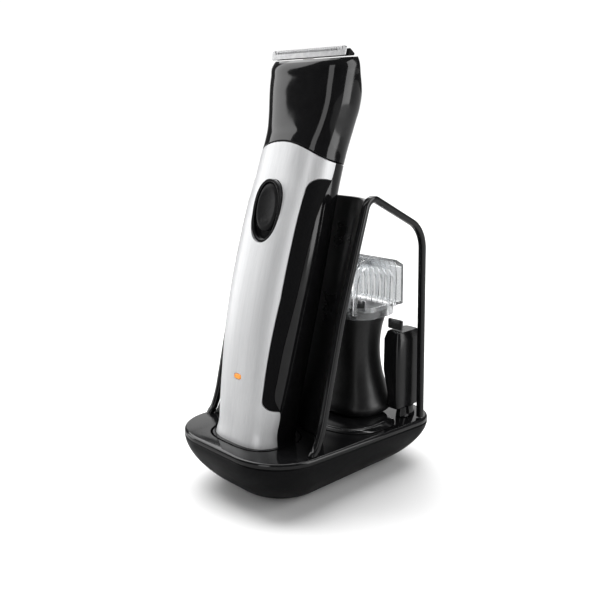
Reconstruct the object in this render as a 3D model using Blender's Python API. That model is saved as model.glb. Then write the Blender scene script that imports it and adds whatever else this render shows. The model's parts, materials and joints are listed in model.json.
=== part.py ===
"""Body groomer standing in its charging stand, with its stored attachments.

Units are metres, +Z is up, -Y is the front, and the origin is the middle of the footprint on the
table. Every sub-part is one closed solid in its own object.
"""

import math

import bmesh
import bpy
from mathutils import Matrix, Vector

MM = 0.001
GAP = 0.3 * MM                      # clearance between touching pieces
SHARP_ANGLE = math.radians(35.0)

# Stand: footprint, rim and walls.
BASE_HALF_WIDTH = 34.5 * MM
BASE_HALF_DEPTH = 51.5 * MM
BASE_FRONT_RADIUS = 22.0 * MM
BASE_REAR_RADIUS = 15.5 * MM
BASE_TAPER = 13.0 * MM              # how far the foot of the side wall stands in from the rim
BASE_FRONT_TAPER = 2.0 * MM         # and how much more than that at the front
BASE_WALL = 2.2 * MM
BASE_BOTTOM = 1.2 * MM              # the shell's lower edge above the table
PARTING_HEIGHT = 20.5 * MM          # joint between lower shell and deck, at the middle
DECK_THICKNESS = 2.5 * MM
DECK_SLOPE = 0.0388                 # the deck falls towards the rear
COVER_THICKNESS = 2.4 * MM
FOOT_RADIUS = 4.0 * MM
FOOT_PLACES = ((-11.0, -25.0), (11.0, -25.0), (-12.0, 30.0), (12.0, 30.0))
SCREW_PLACES = ((-14.5, -12.0), (14.5, -12.0), (-14.5, 17.0), (14.5, 17.0))
SCREW_RADIUS = 1.3 * MM
INLET_HEIGHT = 11.5 * MM
INLET_MIDDLE = 40.2 * MM

# Handle: a leaning frame whose local Z runs up the handle and local -Y is its front.
LEAN = math.radians(13.1)
HANDLE_FOOT = Vector((0.0, -30.0 * MM, 16.5 * MM))
FRONT_POWER = 3.0                   # squareness of the front half of the handle's oval section
REAR_POWER = 2.3                    # and of the rear half
COLLAR_ARCH = 5.4 * MM              # the front shell's upper edge arches up by this much
SHELL_WALL = 2.0 * MM
# Joint between front and rear shell, seen from the side: local Y, height.
PART_ROUTE = (
    (-3.6, -20.0), (-3.8, 4.0), (-5.2, 14.0), (-5.8, 20.5), (-9.6, 26.0), (-10.4, 35.0),
    (-10.6, 48.0), (-10.0, 58.0), (-9.3, 68.0), (-8.6, 80.0), (-7.5, 91.0), (-6.4, 98.5),
    (-4.7, 104.5), (-2.8, 110.0), (-1.2, 114.0), (-0.4, 118.0), (-0.4, 140.0),
)
# Inner edge of a grip seen from the front: distance from the middle, height.
GRIP_EDGE = ((12.8, 21.6), (13.3, 34.0), (15.2, 66.0), (15.4, 114.6))
GRIP_CORNER = 6.0
GRIP_DEPTH = 1.6 * MM
SWITCH_HEIGHT = 98.6 * MM
LIGHT_HEIGHT = 32.0 * MM

# Handle section: height, half width, front half depth, rear half depth.
HANDLE_SECTIONS = (
    (0.0, 13.0, 11.6, 11.0), (1.6, 14.8, 13.0, 12.4), (12.0, 16.1, 14.4, 12.6),
    (30.0, 17.6, 16.3, 10.6), (50.0, 18.8, 17.8, 9.4), (68.0, 19.4, 17.8, 9.2),
    (84.0, 19.5, 16.9, 9.4), (100.0, 19.2, 15.5, 10.0), (112.0, 18.7, 13.6, 11.0),
    (121.0, 18.5, 12.3, 12.2),
)
# Cutting head section: height, half width, front and rear half depth, rise towards the rear.
HEAD_SECTIONS = (
    (121.7, 18.3, 12.2, 12.6, 0.0), (126.5, 18.0, 11.7, 13.8, 0.0), (132.0, 18.3, 11.0, 14.8, 0.0),
    (139.0, 19.4, 10.8, 15.3, 0.0), (145.0, 20.3, 11.2, 15.8, 0.04), (150.0, 20.7, 11.7, 14.6, 0.12),
    (155.0, 20.9, 11.9, 10.6, 0.22), (161.2, 20.5, 11.8, 4.8, 0.32), (162.2, 19.9, 11.3, 4.2, 0.32),
)
BLADE_DEPTH = -4.0 * MM             # local Y of the blade's middle
BLADE_BOTTOM = 160.6 * MM
CUTTER_TRAVEL = 1.2 * MM
CELL_OFFSET = -1.0 * MM              # local Y of the battery cells' axes
MOTOR_HEIGHT = 96.0 * MM
MOTOR_OFFSET = -0.6 * MM            # local Y of the motor's axis

# Shield behind the handle and the loops at its sides.
SHIELD_TOP = 120.4 * MM
SHIELD_THICKNESS = 2.2 * MM
SHIELD_HALF_WIDTH = 30.6 * MM
SHIELD_TROUGH = 17.0 * MM           # local Y of the trough's middle
# Across the shield: distance from the middle, and how far the wall has come forward to its edge.
SHIELD_PROFILE = (
    (0.0, 0.0), (10.0, 0.015), (16.0, 0.06), (20.0, 0.19), (23.5, 0.43), (27.0, 0.74), (30.6, 1.0),
)
# Loop: the leg's route up from the deck, then the arched bar and the rear column (Y, Z).
LEG_ROUTE = (
    (-28.6, 24.5), (-26.8, 26.2), (-25.4, 28.8), (-23.8, 33.0), (-21.6, 41.5), (-19.2, 52.0),
    (-13.4, 76.0),
)
LOOP_FRONT_CORNER = (1.2, 122.8)
LOOP_REAR_CORNER = (35.8, 106.2)
LOOP_COLUMN_FOOT = (38.8, 22.1)
LOOP_MIDDLE = 32.1 * MM             # X of the ribbon's middle
LOOP_WIDTH = 2.8 * MM
LOOP_DEPTH = 2.6 * MM

# Stored attachments.
SPARE_PLACE = Vector((4.0 * MM, 24.0 * MM, 0.0))
PRECISION_PLACE = Vector((24.0 * MM, 34.8 * MM, 0.0))
# Pedestals: node name, middle, half width, front and rear half depth, top, set-in of the flank.
PEDESTALS = (
    ("head_pedestal", (7.0, 16.0), 24.8, 21.0, 15.8, 24.1, 3.0),
    ("precision_pedestal", (25.4, 36.4), 2.7, 4.9, 5.8, 26.7, 0.4),
)
PEDESTAL_ROUNDING = 0.5 * MM
SPARE_SECTIONS = (
    (24.4, 16.8, 13.6), (25.3, 17.6, 14.4), (33.0, 16.4, 13.2), (42.0, 13.8, 11.0),
    (52.0, 12.6, 10.0), (62.0, 13.4, 10.6), (69.0, 15.0, 12.0), (70.6, 15.2, 12.2),
)
# Second attachment: height, how far its middle leans to the right, half width, half depth.
PRECISION_SECTIONS = (
    (27.0, 1.5, 3.2, 7.6), (28.0, 1.5, 3.3, 8.0), (34.0, 1.5, 3.35, 8.2), (44.0, 0.15, 4.7, 8.2),
    (58.0, 0.15, 4.7, 8.2), (61.6, 0.0, 3.7, 6.8),
)
PRECISION_HOLLOW = (
    (20.0, 1.5, 1.8, 6.0), (34.0, 1.5, 1.9, 6.6), (44.0, 0.2, 3.1, 6.6), (52.0, 0.2, 3.1, 6.4),
)
PRECISION_BLADE_MIDDLE = -1.2 * MM

COLLECTION_NAME = "body_groomer"

# Colour, roughness, metallic.
FINISHES = {
    "gloss_black": ((0.012, 0.012, 0.013), 0.12, 0.0),
    "satin_black": ((0.022, 0.022, 0.023), 0.38, 0.0),
    "silver": ((0.74, 0.745, 0.75), 0.34, 0.55),
    "rubber": ((0.018, 0.018, 0.018), 0.75, 0.0),
    "steel": ((0.62, 0.62, 0.63), 0.28, 1.0),
    "amber": ((0.95, 0.36, 0.06), 0.3, 0.0),
    "clear": ((0.9, 0.92, 0.93), 0.08, 0.0),
    "nylon": ((0.62, 0.62, 0.6), 0.5, 0.0),
    "brass": ((0.8, 0.6, 0.25), 0.3, 1.0),
    "board": ((0.03, 0.2, 0.08), 0.5, 0.0),
    "cell_wrap": ((0.1, 0.22, 0.45), 0.35, 0.0),
}


# ---------------------------------------------------------------- scene and objects

def clear_scene():
    for obj in list(bpy.data.objects):
        bpy.data.objects.remove(obj, do_unlink=True)


def new_collection(name):
    collection = bpy.data.collections.new(name)
    bpy.context.scene.collection.children.link(collection)
    return collection


def make_finish(name):
    colour, roughness, metallic = FINISHES[name]
    material = bpy.data.materials.new(name)
    material.use_nodes = True
    shader = material.node_tree.nodes["Principled BSDF"]
    shader.inputs["Base Color"].default_value = (*colour, 1.0)
    shader.inputs["Roughness"].default_value = roughness
    shader.inputs["Metallic"].default_value = metallic
    if name == "clear":
        shader.inputs["Transmission Weight"].default_value = 0.9
    return material


def add_object(name, mesh, collection, finish=None, parent=None):
    obj = bpy.data.objects.new(name, mesh)
    collection.objects.link(obj)
    if finish is not None:
        obj.data.materials.append(finish)
    if parent is not None:
        obj.parent = parent
    return obj


def mesh_from(name, work, smooth=True):
    bmesh.ops.recalc_face_normals(work, faces=work.faces)
    mesh = bpy.data.meshes.new(name)
    work.to_mesh(mesh)
    work.free()
    if smooth:
        mesh.shade_smooth()
        mesh.set_sharp_from_angle(angle=SHARP_ANGLE)
    return mesh


# ---------------------------------------------------------------- solid makers

def signed_power(value, power):
    return math.copysign(abs(value) ** power, value)


def oval(half_x, front, rear, powers=(FRONT_POWER, REAR_POWER), count=40):
    """Points of an oval whose front (-Y) and rear (+Y) halves have their own depth and squareness."""
    points = []
    for step in range(count):
        angle = 2.0 * math.pi * step / count
        depth, power = (rear, powers[1]) if math.sin(angle) > 0.0 else (front, powers[0])
        x = half_x * signed_power(math.cos(angle), 2.0 / power)
        y = depth * signed_power(math.sin(angle), 2.0 / power)
        points.append((x, y))
    return points


def strip_cap(work, row, upward):
    """Close an oval ring with strips that join points of equal X, so that an arched end stays true."""
    count = len(row)
    for i in range(count // 2):
        far, near = row[i + 1], row[i]
        corners = [near, far, row[count - i - 1], row[(count - i) % count]]
        corners = list(dict.fromkeys(corners))
        if not upward:
            corners.reverse()
        work.faces.new(corners)


def loft(name, rings, smooth=True, arched=False):
    """A closed solid through rings that hold the same number of points, lowest ring first."""
    work = bmesh.new()
    rows = [[work.verts.new(point) for point in ring] for ring in rings]
    count = len(rings[0])
    for lower, upper in zip(rows, rows[1:]):
        for i in range(count):
            j = (i + 1) % count
            work.faces.new((lower[i], lower[j], upper[j], upper[i]))
    if arched:
        strip_cap(work, rows[0], False)
        strip_cap(work, rows[-1], True)
    else:
        work.faces.new(list(reversed(rows[0])))
        work.faces.new(rows[-1])
    return mesh_from(name, work, smooth)


def oval_solid(name, sections, power, count=40):
    """A loft through ovals given in millimetres as height, half width, front and rear depth."""
    rings = []
    for height, half_x, front, rear in sections:
        outline = oval(half_x * MM, front * MM, rear * MM, (power, power), count)
        rings.append([Vector((x, y, height * MM)) for x, y in outline])
    return loft(name, rings)


def box_mesh(name, size, centre, bevel=0.0):
    work = bmesh.new()
    bmesh.ops.create_cube(work, size=1.0)
    bmesh.ops.scale(work, vec=Vector(size), verts=work.verts)
    bmesh.ops.translate(work, vec=Vector(centre), verts=work.verts)
    if bevel > 0.0:
        bmesh.ops.bevel(work, geom=work.edges, offset=bevel, segments=2, affect="EDGES")
    return mesh_from(name, work)


def cylinder_mesh(name, radius, low, high, centre=(0.0, 0.0), count=24):
    work = bmesh.new()
    bmesh.ops.create_cone(
        work, cap_ends=True, segments=count, radius1=radius, radius2=radius, depth=high - low,
    )
    middle = Vector((centre[0], centre[1], (low + high) / 2.0))
    bmesh.ops.translate(work, vec=middle, verts=work.verts)
    return mesh_from(name, work)


def slab_mesh(name, outline, low, high):
    """An upright prism over a flat outline, with its ends at low and high."""
    rings = [[Vector((x, y, z)) for x, y in outline] for z in (low, high)]
    return loft(name, rings)


def combine(obj, other, operation):
    """Apply an exact Boolean and keep the result as the object's own mesh."""
    modifier = obj.modifiers.new("cut", "BOOLEAN")
    modifier.operation = operation
    modifier.solver = "EXACT"
    modifier.object = other
    bpy.context.view_layer.update()
    graph = bpy.context.evaluated_depsgraph_get()
    mesh = bpy.data.meshes.new_from_object(obj.evaluated_get(graph))
    obj.modifiers.remove(modifier)
    old = obj.data
    obj.data = mesh
    bpy.data.meshes.remove(old)
    obj.data.shade_smooth()
    obj.data.set_sharp_from_angle(angle=SHARP_ANGLE)


class Maker:
    """Holds the collections and materials, and adds parts and cutters to them."""

    def __init__(self):
        self.parts = new_collection(COLLECTION_NAME)
        self.cutters = new_collection("cutters")
        self.finishes = {name: make_finish(name) for name in FINISHES}

    def part(self, name, mesh, finish, parent=None):
        own = self.finishes[finish].copy()
        own.name = name
        return add_object(name, mesh, self.parts, own, parent)

    def cutter(self, mesh, parent=None):
        obj = add_object("cutter_" + mesh.name, mesh, self.cutters, None, parent)
        obj.hide_render = True
        obj.display_type = "WIRE"
        return obj

    def cut(self, obj, *cutters):
        for cutter in cutters:
            combine(obj, cutter, "DIFFERENCE")

    def keep(self, obj, cutter):
        combine(obj, cutter, "INTERSECT")

    def join(self, obj, other):
        combine(obj, other, "UNION")

    def axis(self, name, place, parent=None):
        """An empty that marks a frame or a joint axis."""
        empty = bpy.data.objects.new(name, None)
        self.parts.objects.link(empty)
        empty.location = place
        empty.parent = parent
        return empty


# ---------------------------------------------------------------- stand

def deck_height(y, offset=0.0):
    return PARTING_HEIGHT - DECK_SLOPE * y + offset


def base_outline(inset, drop=0.0):
    """The stand's footprint moved inwards by inset, and by the wall's taper at drop (0 top, 1 foot)."""
    share = drop ** 1.8
    half_x = BASE_HALF_WIDTH - BASE_TAPER * share - inset
    rear_y = BASE_HALF_DEPTH - BASE_TAPER * share - inset
    front_y = inset + (BASE_TAPER + BASE_FRONT_TAPER) * share - BASE_HALF_DEPTH
    front = BASE_FRONT_RADIUS - 0.4 * BASE_TAPER * share - inset
    rear = BASE_REAR_RADIUS - 0.4 * BASE_TAPER * share - inset
    corners = (
        (half_x - front, front_y + front, front, -90.0),
        (half_x - rear, rear_y - rear, rear, 0.0),
        (rear - half_x, rear_y - rear, rear, 90.0),
        (front - half_x, front_y + front, front, 180.0),
    )
    points = []
    for centre_x, centre_y, radius, start in corners:
        for step in range(9):
            angle = math.radians(start + 90.0 * step / 8)
            points.append((centre_x + radius * math.cos(angle), centre_y + radius * math.sin(angle)))
    return points


def base_ring(inset, drop, low):
    """A ring of the tapered wall: drop runs from 0 at the parting line to 1 at the wall's foot."""
    ring = []
    for x, y in base_outline(inset, drop):
        top = deck_height(y)
        ring.append(Vector((x, y, top + (low - top) * drop)))
    return ring


def level_ring(inset, offset):
    return [Vector((x, y, deck_height(y, offset))) for x, y in base_outline(inset)]


def build_base(maker):
    drops = (1.0, 0.94, 0.82, 0.66, 0.48, 0.28, 0.12, 0.0)
    outer = loft("base_shell", [base_ring(0.0, drop, BASE_BOTTOM) for drop in drops])
    shell = maker.part("base_shell", outer, "satin_black")
    inner_rings = [base_ring(BASE_WALL, drop, BASE_BOTTOM) for drop in drops]
    lowest = [point - Vector((0.0, 0.0, 2.0 * MM)) for point in inner_rings[0]]
    highest = [point + Vector((0.0, 0.0, 2.0 * MM)) for point in inner_rings[-1]]
    inner = loft("base_hollow", [lowest] + inner_rings + [highest])
    maker.cut(shell, maker.cutter(inner))
    socket_hole = box_mesh("socket_hole", (12.6 * MM, 12.0 * MM, 7.6 * MM), (0.0, 48.0 * MM, INLET_HEIGHT))
    maker.cut(shell, maker.cutter(socket_hole))

    deck_rings = [
        level_ring(0.0, GAP), level_ring(0.0, 1.4 * MM), level_ring(0.25 * MM, 2.0 * MM),
        level_ring(0.9 * MM, DECK_THICKNESS),
    ]
    deck = maker.part("deck", loft("deck", deck_rings), "gloss_black")
    for x, y in SCREW_PLACES:
        boss = cylinder_mesh("boss", 3.0 * MM, 8.0 * MM, PARTING_HEIGHT + 1.2 * MM, (x * MM, y * MM), 20)
        maker.join(deck, maker.cutter(boss))
    for x, y in SCREW_PLACES:
        pilot = cylinder_mesh("pilot", SCREW_RADIUS + GAP, 7.0 * MM, 16.0 * MM, (x * MM, y * MM), 16)
        maker.cut(deck, maker.cutter(pilot))
    return deck


def build_bottom(maker):
    outline = base_outline(BASE_WALL + GAP + 0.2 * MM, 1.0)
    low = BASE_BOTTOM
    high = BASE_BOTTOM + COVER_THICKNESS
    cover = maker.part("bottom_cover", slab_mesh("bottom_cover", outline, low, high), "satin_black")
    for x, y in SCREW_PLACES:
        place = (x * MM, y * MM)
        hole = cylinder_mesh("hole", SCREW_RADIUS + GAP, 0.0, 6.0 * MM, place, 16)
        recess = cylinder_mesh("recess", 2.9 * MM, 0.0, low + 1.4 * MM, place, 20)
        maker.cut(cover, maker.cutter(hole), maker.cutter(recess))
    for x, y in FOOT_PLACES:
        seat = cylinder_mesh("seat", FOOT_RADIUS + GAP, 0.0, low + 0.8 * MM, (x * MM, y * MM), 24)
        maker.cut(cover, maker.cutter(seat))
    names = ("front_left", "front_right", "rear_left", "rear_right")
    for name, (x, y) in zip(names, FOOT_PLACES):
        foot = cylinder_mesh("foot_" + name, FOOT_RADIUS, 0.0, low + 0.5 * MM, (x * MM, y * MM))
        maker.part("foot_" + name, foot, "rubber")
    for name, (x, y) in zip(names, SCREW_PLACES):
        place = (x * MM, y * MM)
        head = cylinder_mesh("screw_" + name, 2.6 * MM, low + 0.1 * MM, low + 1.1 * MM, place, 20)
        screw = maker.part("cover_screw_" + name, head, "steel")
        shank = cylinder_mesh("shank", SCREW_RADIUS, low + 0.6 * MM, 15.0 * MM, place, 14)
        maker.join(screw, maker.cutter(shank))
        slot = box_mesh("slot", (0.7 * MM, 3.4 * MM, 0.8 * MM), (*place, low + 0.1 * MM))
        cross = box_mesh("cross", (3.4 * MM, 0.7 * MM, 0.8 * MM), (*place, low + 0.1 * MM))
        maker.cut(screw, maker.cutter(slot), maker.cutter(cross))


def build_stand_inside(maker):
    ballast_height = BASE_BOTTOM + COVER_THICKNESS + GAP
    plate = box_mesh("ballast_plate", (22.0 * MM, 34.0 * MM, 3.0 * MM),
                     (0.0, -4.0 * MM, ballast_height + 1.5 * MM), 0.5 * MM)
    maker.part("ballast_plate", plate, "steel")
    board = box_mesh("stand_board", (24.0 * MM, 13.4 * MM, 1.6 * MM), (0.0, 27.0 * MM, 12.0 * MM))
    maker.part("stand_circuit_board", board, "board")
    body = box_mesh("power_inlet", (12.0 * MM, 12.0 * MM, 7.0 * MM),
                    (0.0, INLET_MIDDLE, INLET_HEIGHT), 0.6 * MM)
    inlet = maker.part("power_inlet", body, "satin_black")
    mouth_outline = oval(4.6 * MM, 2.6 * MM, 2.6 * MM, (3.0, 3.0), 24)
    mouth = slab_mesh("mouth", mouth_outline, -4.5 * MM, 4.5 * MM)
    mouth_cutter = maker.cutter(mouth)
    mouth_cutter.rotation_euler = (math.radians(90.0), 0.0, 0.0)
    mouth_cutter.location = (0.0, INLET_MIDDLE + 2.5 * MM, INLET_HEIGHT)
    maker.cut(inlet, mouth_cutter)
    for side in (-1.0, 1.0):
        prong = cylinder_mesh("prong", 0.75 * MM, -1.2 * MM, 2.6 * MM, (0.0, 0.0), 12)
        prong_body = maker.cutter(prong)
        prong_body.rotation_euler = (math.radians(-90.0), 0.0, 0.0)
        prong_body.location = (side * 2.0 * MM, INLET_MIDDLE - 2.0 * MM, INLET_HEIGHT)
        maker.join(inlet, prong_body)


def handle_rings(offset, first=0, arch=0.0):
    """Rings of the handle's outer form in its own frame, grown by offset, from a section upwards."""
    rings = []
    for height, half_x, front, rear in HANDLE_SECTIONS[first:]:
        outline = oval(half_x * MM + offset, front * MM + offset, rear * MM + offset)
        rings.append([Vector((x, y, height * MM)) for x, y in outline])
    if arch:
        raise_front(rings[-1], HANDLE_SECTIONS[-1][1] * MM + offset, arch)
    return rings


def raise_front(ring, half_x, arch):
    """Arch the front half of a ring upwards towards its middle."""
    for point in ring:
        if point.y < 0.0:
            point.z += arch * (1.0 - (point.x / half_x) ** 2)


def build_cup(maker, frame, deck):
    """The socket that the handle's foot stands in, under the deck's opening."""
    clearance = 0.6 * MM
    wall = 1.8 * MM
    floor_top = -0.9 * MM
    foot = [s for s in HANDLE_SECTIONS if s[0] <= 12.0]
    heights = ((floor_top / MM, foot[0]), (1.0, foot[1]), (12.0, foot[2]), (18.0, foot[2]))

    def cup_rings(offset, lowest):
        rings = []
        for index, (height, section) in enumerate(heights):
            outline = oval(*(value * MM + offset for value in section[1:]))
            z = lowest if index == 0 else height * MM
            rings.append([Vector((x, y, z)) for x, y in outline])
        return rings

    outer = loft("foot_cup", cup_rings(clearance + wall, floor_top - 1.8 * MM))
    cup = maker.part("foot_cup", outer, "gloss_black", frame)
    hollow_rings = cup_rings(clearance, floor_top)
    hollow_rings.append([point + Vector((0.0, 0.0, 6.0 * MM)) for point in hollow_rings[-1]])
    maker.cut(cup, maker.cutter(loft("cup_hollow", hollow_rings), frame))
    above = box_mesh("above_deck", (90.0 * MM, 120.0 * MM, 30.0 * MM), (0.0, 0.0, 15.0 * MM))
    above_deck = maker.cutter(above)
    above_deck.rotation_euler = (-math.atan(DECK_SLOPE), 0.0, 0.0)
    above_deck.location = (0.0, 0.0, PARTING_HEIGHT + DECK_THICKNESS)
    maker.cut(cup, above_deck)
    opening_rings = cup_rings(clearance + wall + GAP, -12.0 * MM)
    opening_rings.append([point + Vector((0.0, 0.0, 12.0 * MM)) for point in opening_rings[-1]])
    maker.cut(deck, maker.cutter(loft("deck_opening", opening_rings), frame))
    for side, name in ((-1.0, "left"), (1.0, "right")):
        place = (side * 5.0 * MM, 2.0 * MM)
        bore = cylinder_mesh("contact_bore", 1.5 * MM, -6.0 * MM, 2.0 * MM, place, 16)
        maker.cut(cup, maker.cutter(bore, frame))
        pin = cylinder_mesh("charging_pin_" + name, 1.1 * MM, -5.0 * MM, -0.2 * MM, place, 16)
        maker.part("charging_pin_" + name, pin, "brass", frame)


def edge_route(z):
    """Y of the shield's edge at height z, following the loop's leg."""
    route = [(y * MM, height * MM) for y, height in LEG_ROUTE]
    route.append((LOOP_FRONT_CORNER[0] * MM, LOOP_FRONT_CORNER[1] * MM))
    if z <= route[0][1]:
        return route[0][0]
    for (y0, z0), (y1, z1) in zip(route, route[1:]):
        if z <= z1:
            return y0 + (y1 - y0) * (z - z0) / (z1 - z0)
    return route[-1][0]


def profile_share(x):
    """How far the wall has come forward at distance x from the middle, 0 to 1."""
    points = [(distance * MM, share) for distance, share in SHIELD_PROFILE]
    x = min(abs(x), points[-1][0])
    for (x0, s0), (x1, s1) in zip(points, points[1:]):
        if x <= x1:
            t = (x - x0) / (x1 - x0)
            return s0 + (s1 - s0) * t
    return 1.0


def shield_point(across, up, depth):
    """A point of the shield: across -1..1, up 0..1, depth behind its front surface."""
    x = SHIELD_HALF_WIDTH * across
    foot = deck_height(-20.0 * MM, DECK_THICKNESS + 0.5 * MM)
    z = foot + (SHIELD_TOP - foot) * up
    trough = HANDLE_FOOT.y + (z - HANDLE_FOOT.z) * math.tan(LEAN) + SHIELD_TROUGH / math.cos(LEAN)
    edge = edge_route(z) + LOOP_DEPTH / 2.0 - 0.2 * MM
    y = trough + (edge - trough) * profile_share(x) + depth
    lowest = deck_height(y, DECK_THICKNESS + GAP)
    return Vector((x, y, max(z, lowest) if up > 0.0 else lowest))


def build_shield(maker):
    columns = 24
    ups = [0.0, 0.02, 0.04, 0.07, 0.11, 0.16, 0.22, 0.3, 0.45, 0.6, 0.75, 0.88, 1.0]
    work = bmesh.new()
    layers = []
    for depth in (0.0, SHIELD_THICKNESS):
        grid = []
        for up in ups:
            row = []
            for i in range(columns + 1):
                row.append(work.verts.new(shield_point(2.0 * i / columns - 1.0, up, depth)))
            grid.append(row)
        layers.append(grid)
    front, rear = layers
    for low, (row, above) in enumerate(zip(front, front[1:])):
        for i in range(columns):
            work.faces.new((row[i], row[i + 1], above[i + 1], above[i]))
            back, back_above = rear[low], rear[low + 1]
            work.faces.new((back[i + 1], back[i], back_above[i], back_above[i + 1]))
        for i in (0, columns):
            work.faces.new((row[i], above[i], rear[low + 1][i], rear[low][i]))
    for level in (0, len(ups) - 1):
        for i in range(columns):
            work.faces.new((front[level][i], front[level][i + 1], rear[level][i + 1], rear[level][i]))
    maker.part("cradle_shield", mesh_from("cradle_shield", work), "gloss_black")


def fillet(route, index, radius, steps=6):
    """Points of an arc that rounds the corner of a route at index."""
    before, corner, after = (Vector(route[index + k]) for k in (-1, 0, 1))
    to_before = (before - corner).normalized()
    to_after = (after - corner).normalized()
    half = to_before.angle(to_after) / 2.0
    reach = radius / math.tan(half)
    middle = corner + (to_before + to_after).normalized() * (radius / math.sin(half))
    start = corner + to_before * reach - middle
    end = corner + to_after * reach - middle
    first = math.atan2(start.y, start.x)
    turn = math.remainder(math.atan2(end.y, end.x) - first, 2.0 * math.pi)
    angles = [first + turn * step / steps for step in range(steps + 1)]
    return [middle + Vector((math.cos(angle), math.sin(angle))) * radius for angle in angles]


def loop_route():
    corners = [*LEG_ROUTE, LOOP_FRONT_CORNER, LOOP_REAR_CORNER, LOOP_COLUMN_FOOT]
    route = [Vector(point) for point in LEG_ROUTE]
    first = len(LEG_ROUTE)
    route += fillet(corners, first, 4.5, 8)
    route += fillet(corners, first + 1, 14.0, 10)
    route.append(Vector(corners[-1]))
    return [point * MM for point in route]


def ribbon_mesh(name, route, middle, width, depth):
    """A flat bar that follows a route of (Y, Z) points, centred on X = middle."""
    rings = []
    for index, point in enumerate(route):
        before = route[max(index - 1, 0)]
        after = route[min(index + 1, len(route) - 1)]
        along = (after - before).normalized()
        side = Vector((-along.y, along.x))
        if index == 0 or index == len(route) - 1:
            side = Vector((math.copysign(1.0, side.x), 0.0))
        chamfer = 0.8 * MM
        ring = []
        for across, out in (
            (-width / 2, depth / 2 - chamfer), (-width / 2 + chamfer, depth / 2),
            (width / 2 - chamfer, depth / 2), (width / 2, depth / 2 - chamfer),
            (width / 2, chamfer - depth / 2), (width / 2 - chamfer, -depth / 2),
            (chamfer - width / 2, -depth / 2), (-width / 2, chamfer - depth / 2),
        ):
            offset = side * out
            ring.append(Vector((middle + across, point.x + offset.x, point.y + offset.y)))
        rings.append(ring)
    return loft(name, rings)


def build_loops(maker):
    route = loop_route()
    for side, name in ((-1.0, "left"), (1.0, "right")):
        mesh = ribbon_mesh("loop_" + name, route, side * LOOP_MIDDLE, LOOP_WIDTH, LOOP_DEPTH)
        maker.part("loop_" + name, mesh, "gloss_black")


def build_pedestals(maker):
    for name, middle, half_x, front, rear, top, set_in in PEDESTALS:
        outline = oval(half_x * MM, front * MM, rear * MM, (2.6, 2.6), 40)
        rounding = PEDESTAL_ROUNDING
        rings = []
        for shrink, height in (
            (0.0, None), (set_in * MM, top * MM - rounding), (set_in * MM + rounding, top * MM),
        ):
            scale = 1.0 - shrink / (half_x * MM)
            ring = []
            for x, y in outline:
                spot = Vector((middle[0] * MM + x * scale, middle[1] * MM + y * scale, 0.0))
                lowest = deck_height(spot.y, DECK_THICKNESS + GAP)
                spot.z = lowest if height is None else height
                ring.append(spot)
            rings.append(ring)
        maker.part(name, loft(name, rings), "gloss_black")


# ---------------------------------------------------------------- handle

def parting_prism(name, rear, offset):
    """Everything in front of the parting line, or behind it, with the line moved back by offset."""
    far = 60.0 if rear else -60.0
    line = [(y + offset / MM, z) for y, z in PART_ROUTE]
    outline = [(far, line[0][1]), *line, (far, line[-1][1])]
    reach = 60.0 * MM
    return loft(name, [[Vector((x, y * MM, z * MM)) for y, z in outline] for x in (-reach, reach)])


def grip_bar(name, side, grow):
    """A prism, front to back, that cuts one grip out of the handle's side."""
    grow = grow / MM
    edge = [(x - grow, z) for x, z in GRIP_EDGE]
    edge[0] = (edge[0][0], edge[0][1] - grow)
    edge[-1] = (edge[-1][0], edge[-1][1] + grow)
    corners = [(30.0, edge[0][1]), *edge, (30.0, edge[-1][1])]
    outline = [Vector(corners[0])]
    outline += fillet(corners, 1, 0.6 * GRIP_CORNER)
    outline += [Vector(point) for point in edge[1:-1]]
    outline += fillet(corners, len(edge), GRIP_CORNER)
    outline.append(Vector(corners[-1]))
    rings = [[Vector((side * p.x * MM, y, p.y * MM)) for p in outline] for y in (-30.0 * MM, 5.0 * MM)]
    return loft(name, rings)


def build_shells(maker, frame):
    hollow = handle_rings(-SHELL_WALL, first=1)
    hollow[0] = [Vector((p.x, p.y, SHELL_WALL)) for p in hollow[0]]
    hollow.append([point + Vector((0.0, 0.0, 12.0 * MM)) for point in hollow[-1]])
    hollow_cutter = maker.cutter(loft("handle_hollow", hollow), frame)

    front_form = loft("front_shell", handle_rings(0.0, arch=COLLAR_ARCH), arched=True)
    front = maker.part("front_shell", front_form, "silver", frame)
    maker.cut(front, hollow_cutter)
    maker.keep(front, maker.cutter(parting_prism("front_half", False, 0.0), frame))
    rear = maker.part("rear_shell", loft("rear_shell", handle_rings(0.0)), "gloss_black", frame)
    maker.cut(rear, hollow_cutter)
    maker.keep(rear, maker.cutter(parting_prism("rear_half", True, GAP), frame))

    core = maker.cutter(loft("grip_core", handle_rings(-GRIP_DEPTH, first=1)), frame)
    for side, name in ((-1.0, "left"), (1.0, "right")):
        maker.cut(front, maker.cutter(grip_bar("grip_recess", side, GAP), frame))
        grip = maker.part("grip_" + name, loft("grip_" + name, handle_rings(0.0)), "rubber", frame)
        maker.cut(grip, core)
        maker.keep(grip, maker.cutter(grip_bar("grip_keep", side, 0.0), frame))
        maker.keep(grip, maker.cutter(parting_prism("grip_front", False, 0.0), frame))
    return front, rear


def front_surface(height):
    """Local Y of the handle's front at a height."""
    for (z0, _, f0, _), (z1, _, f1, _) in zip(HANDLE_SECTIONS, HANDLE_SECTIONS[1:]):
        if height <= z1 * MM:
            t = (height - z0 * MM) / ((z1 - z0) * MM)
            return -(f0 + (f1 - f0) * t) * MM
    return -HANDLE_SECTIONS[-1][2] * MM


def face_slab(name, half_x, half_z, height, out, inner, power=2.2, count=32):
    """A flat-backed oval on the handle's front: out and inner are depths from the surface."""
    surface = front_surface(height)
    outline = oval(half_x, half_z, half_z, (power, power), count)
    rings = []
    for depth in (inner, out):
        rings.append([Vector((x, surface + depth, height + z)) for x, z in outline])
    return loft(name, rings)


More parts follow.
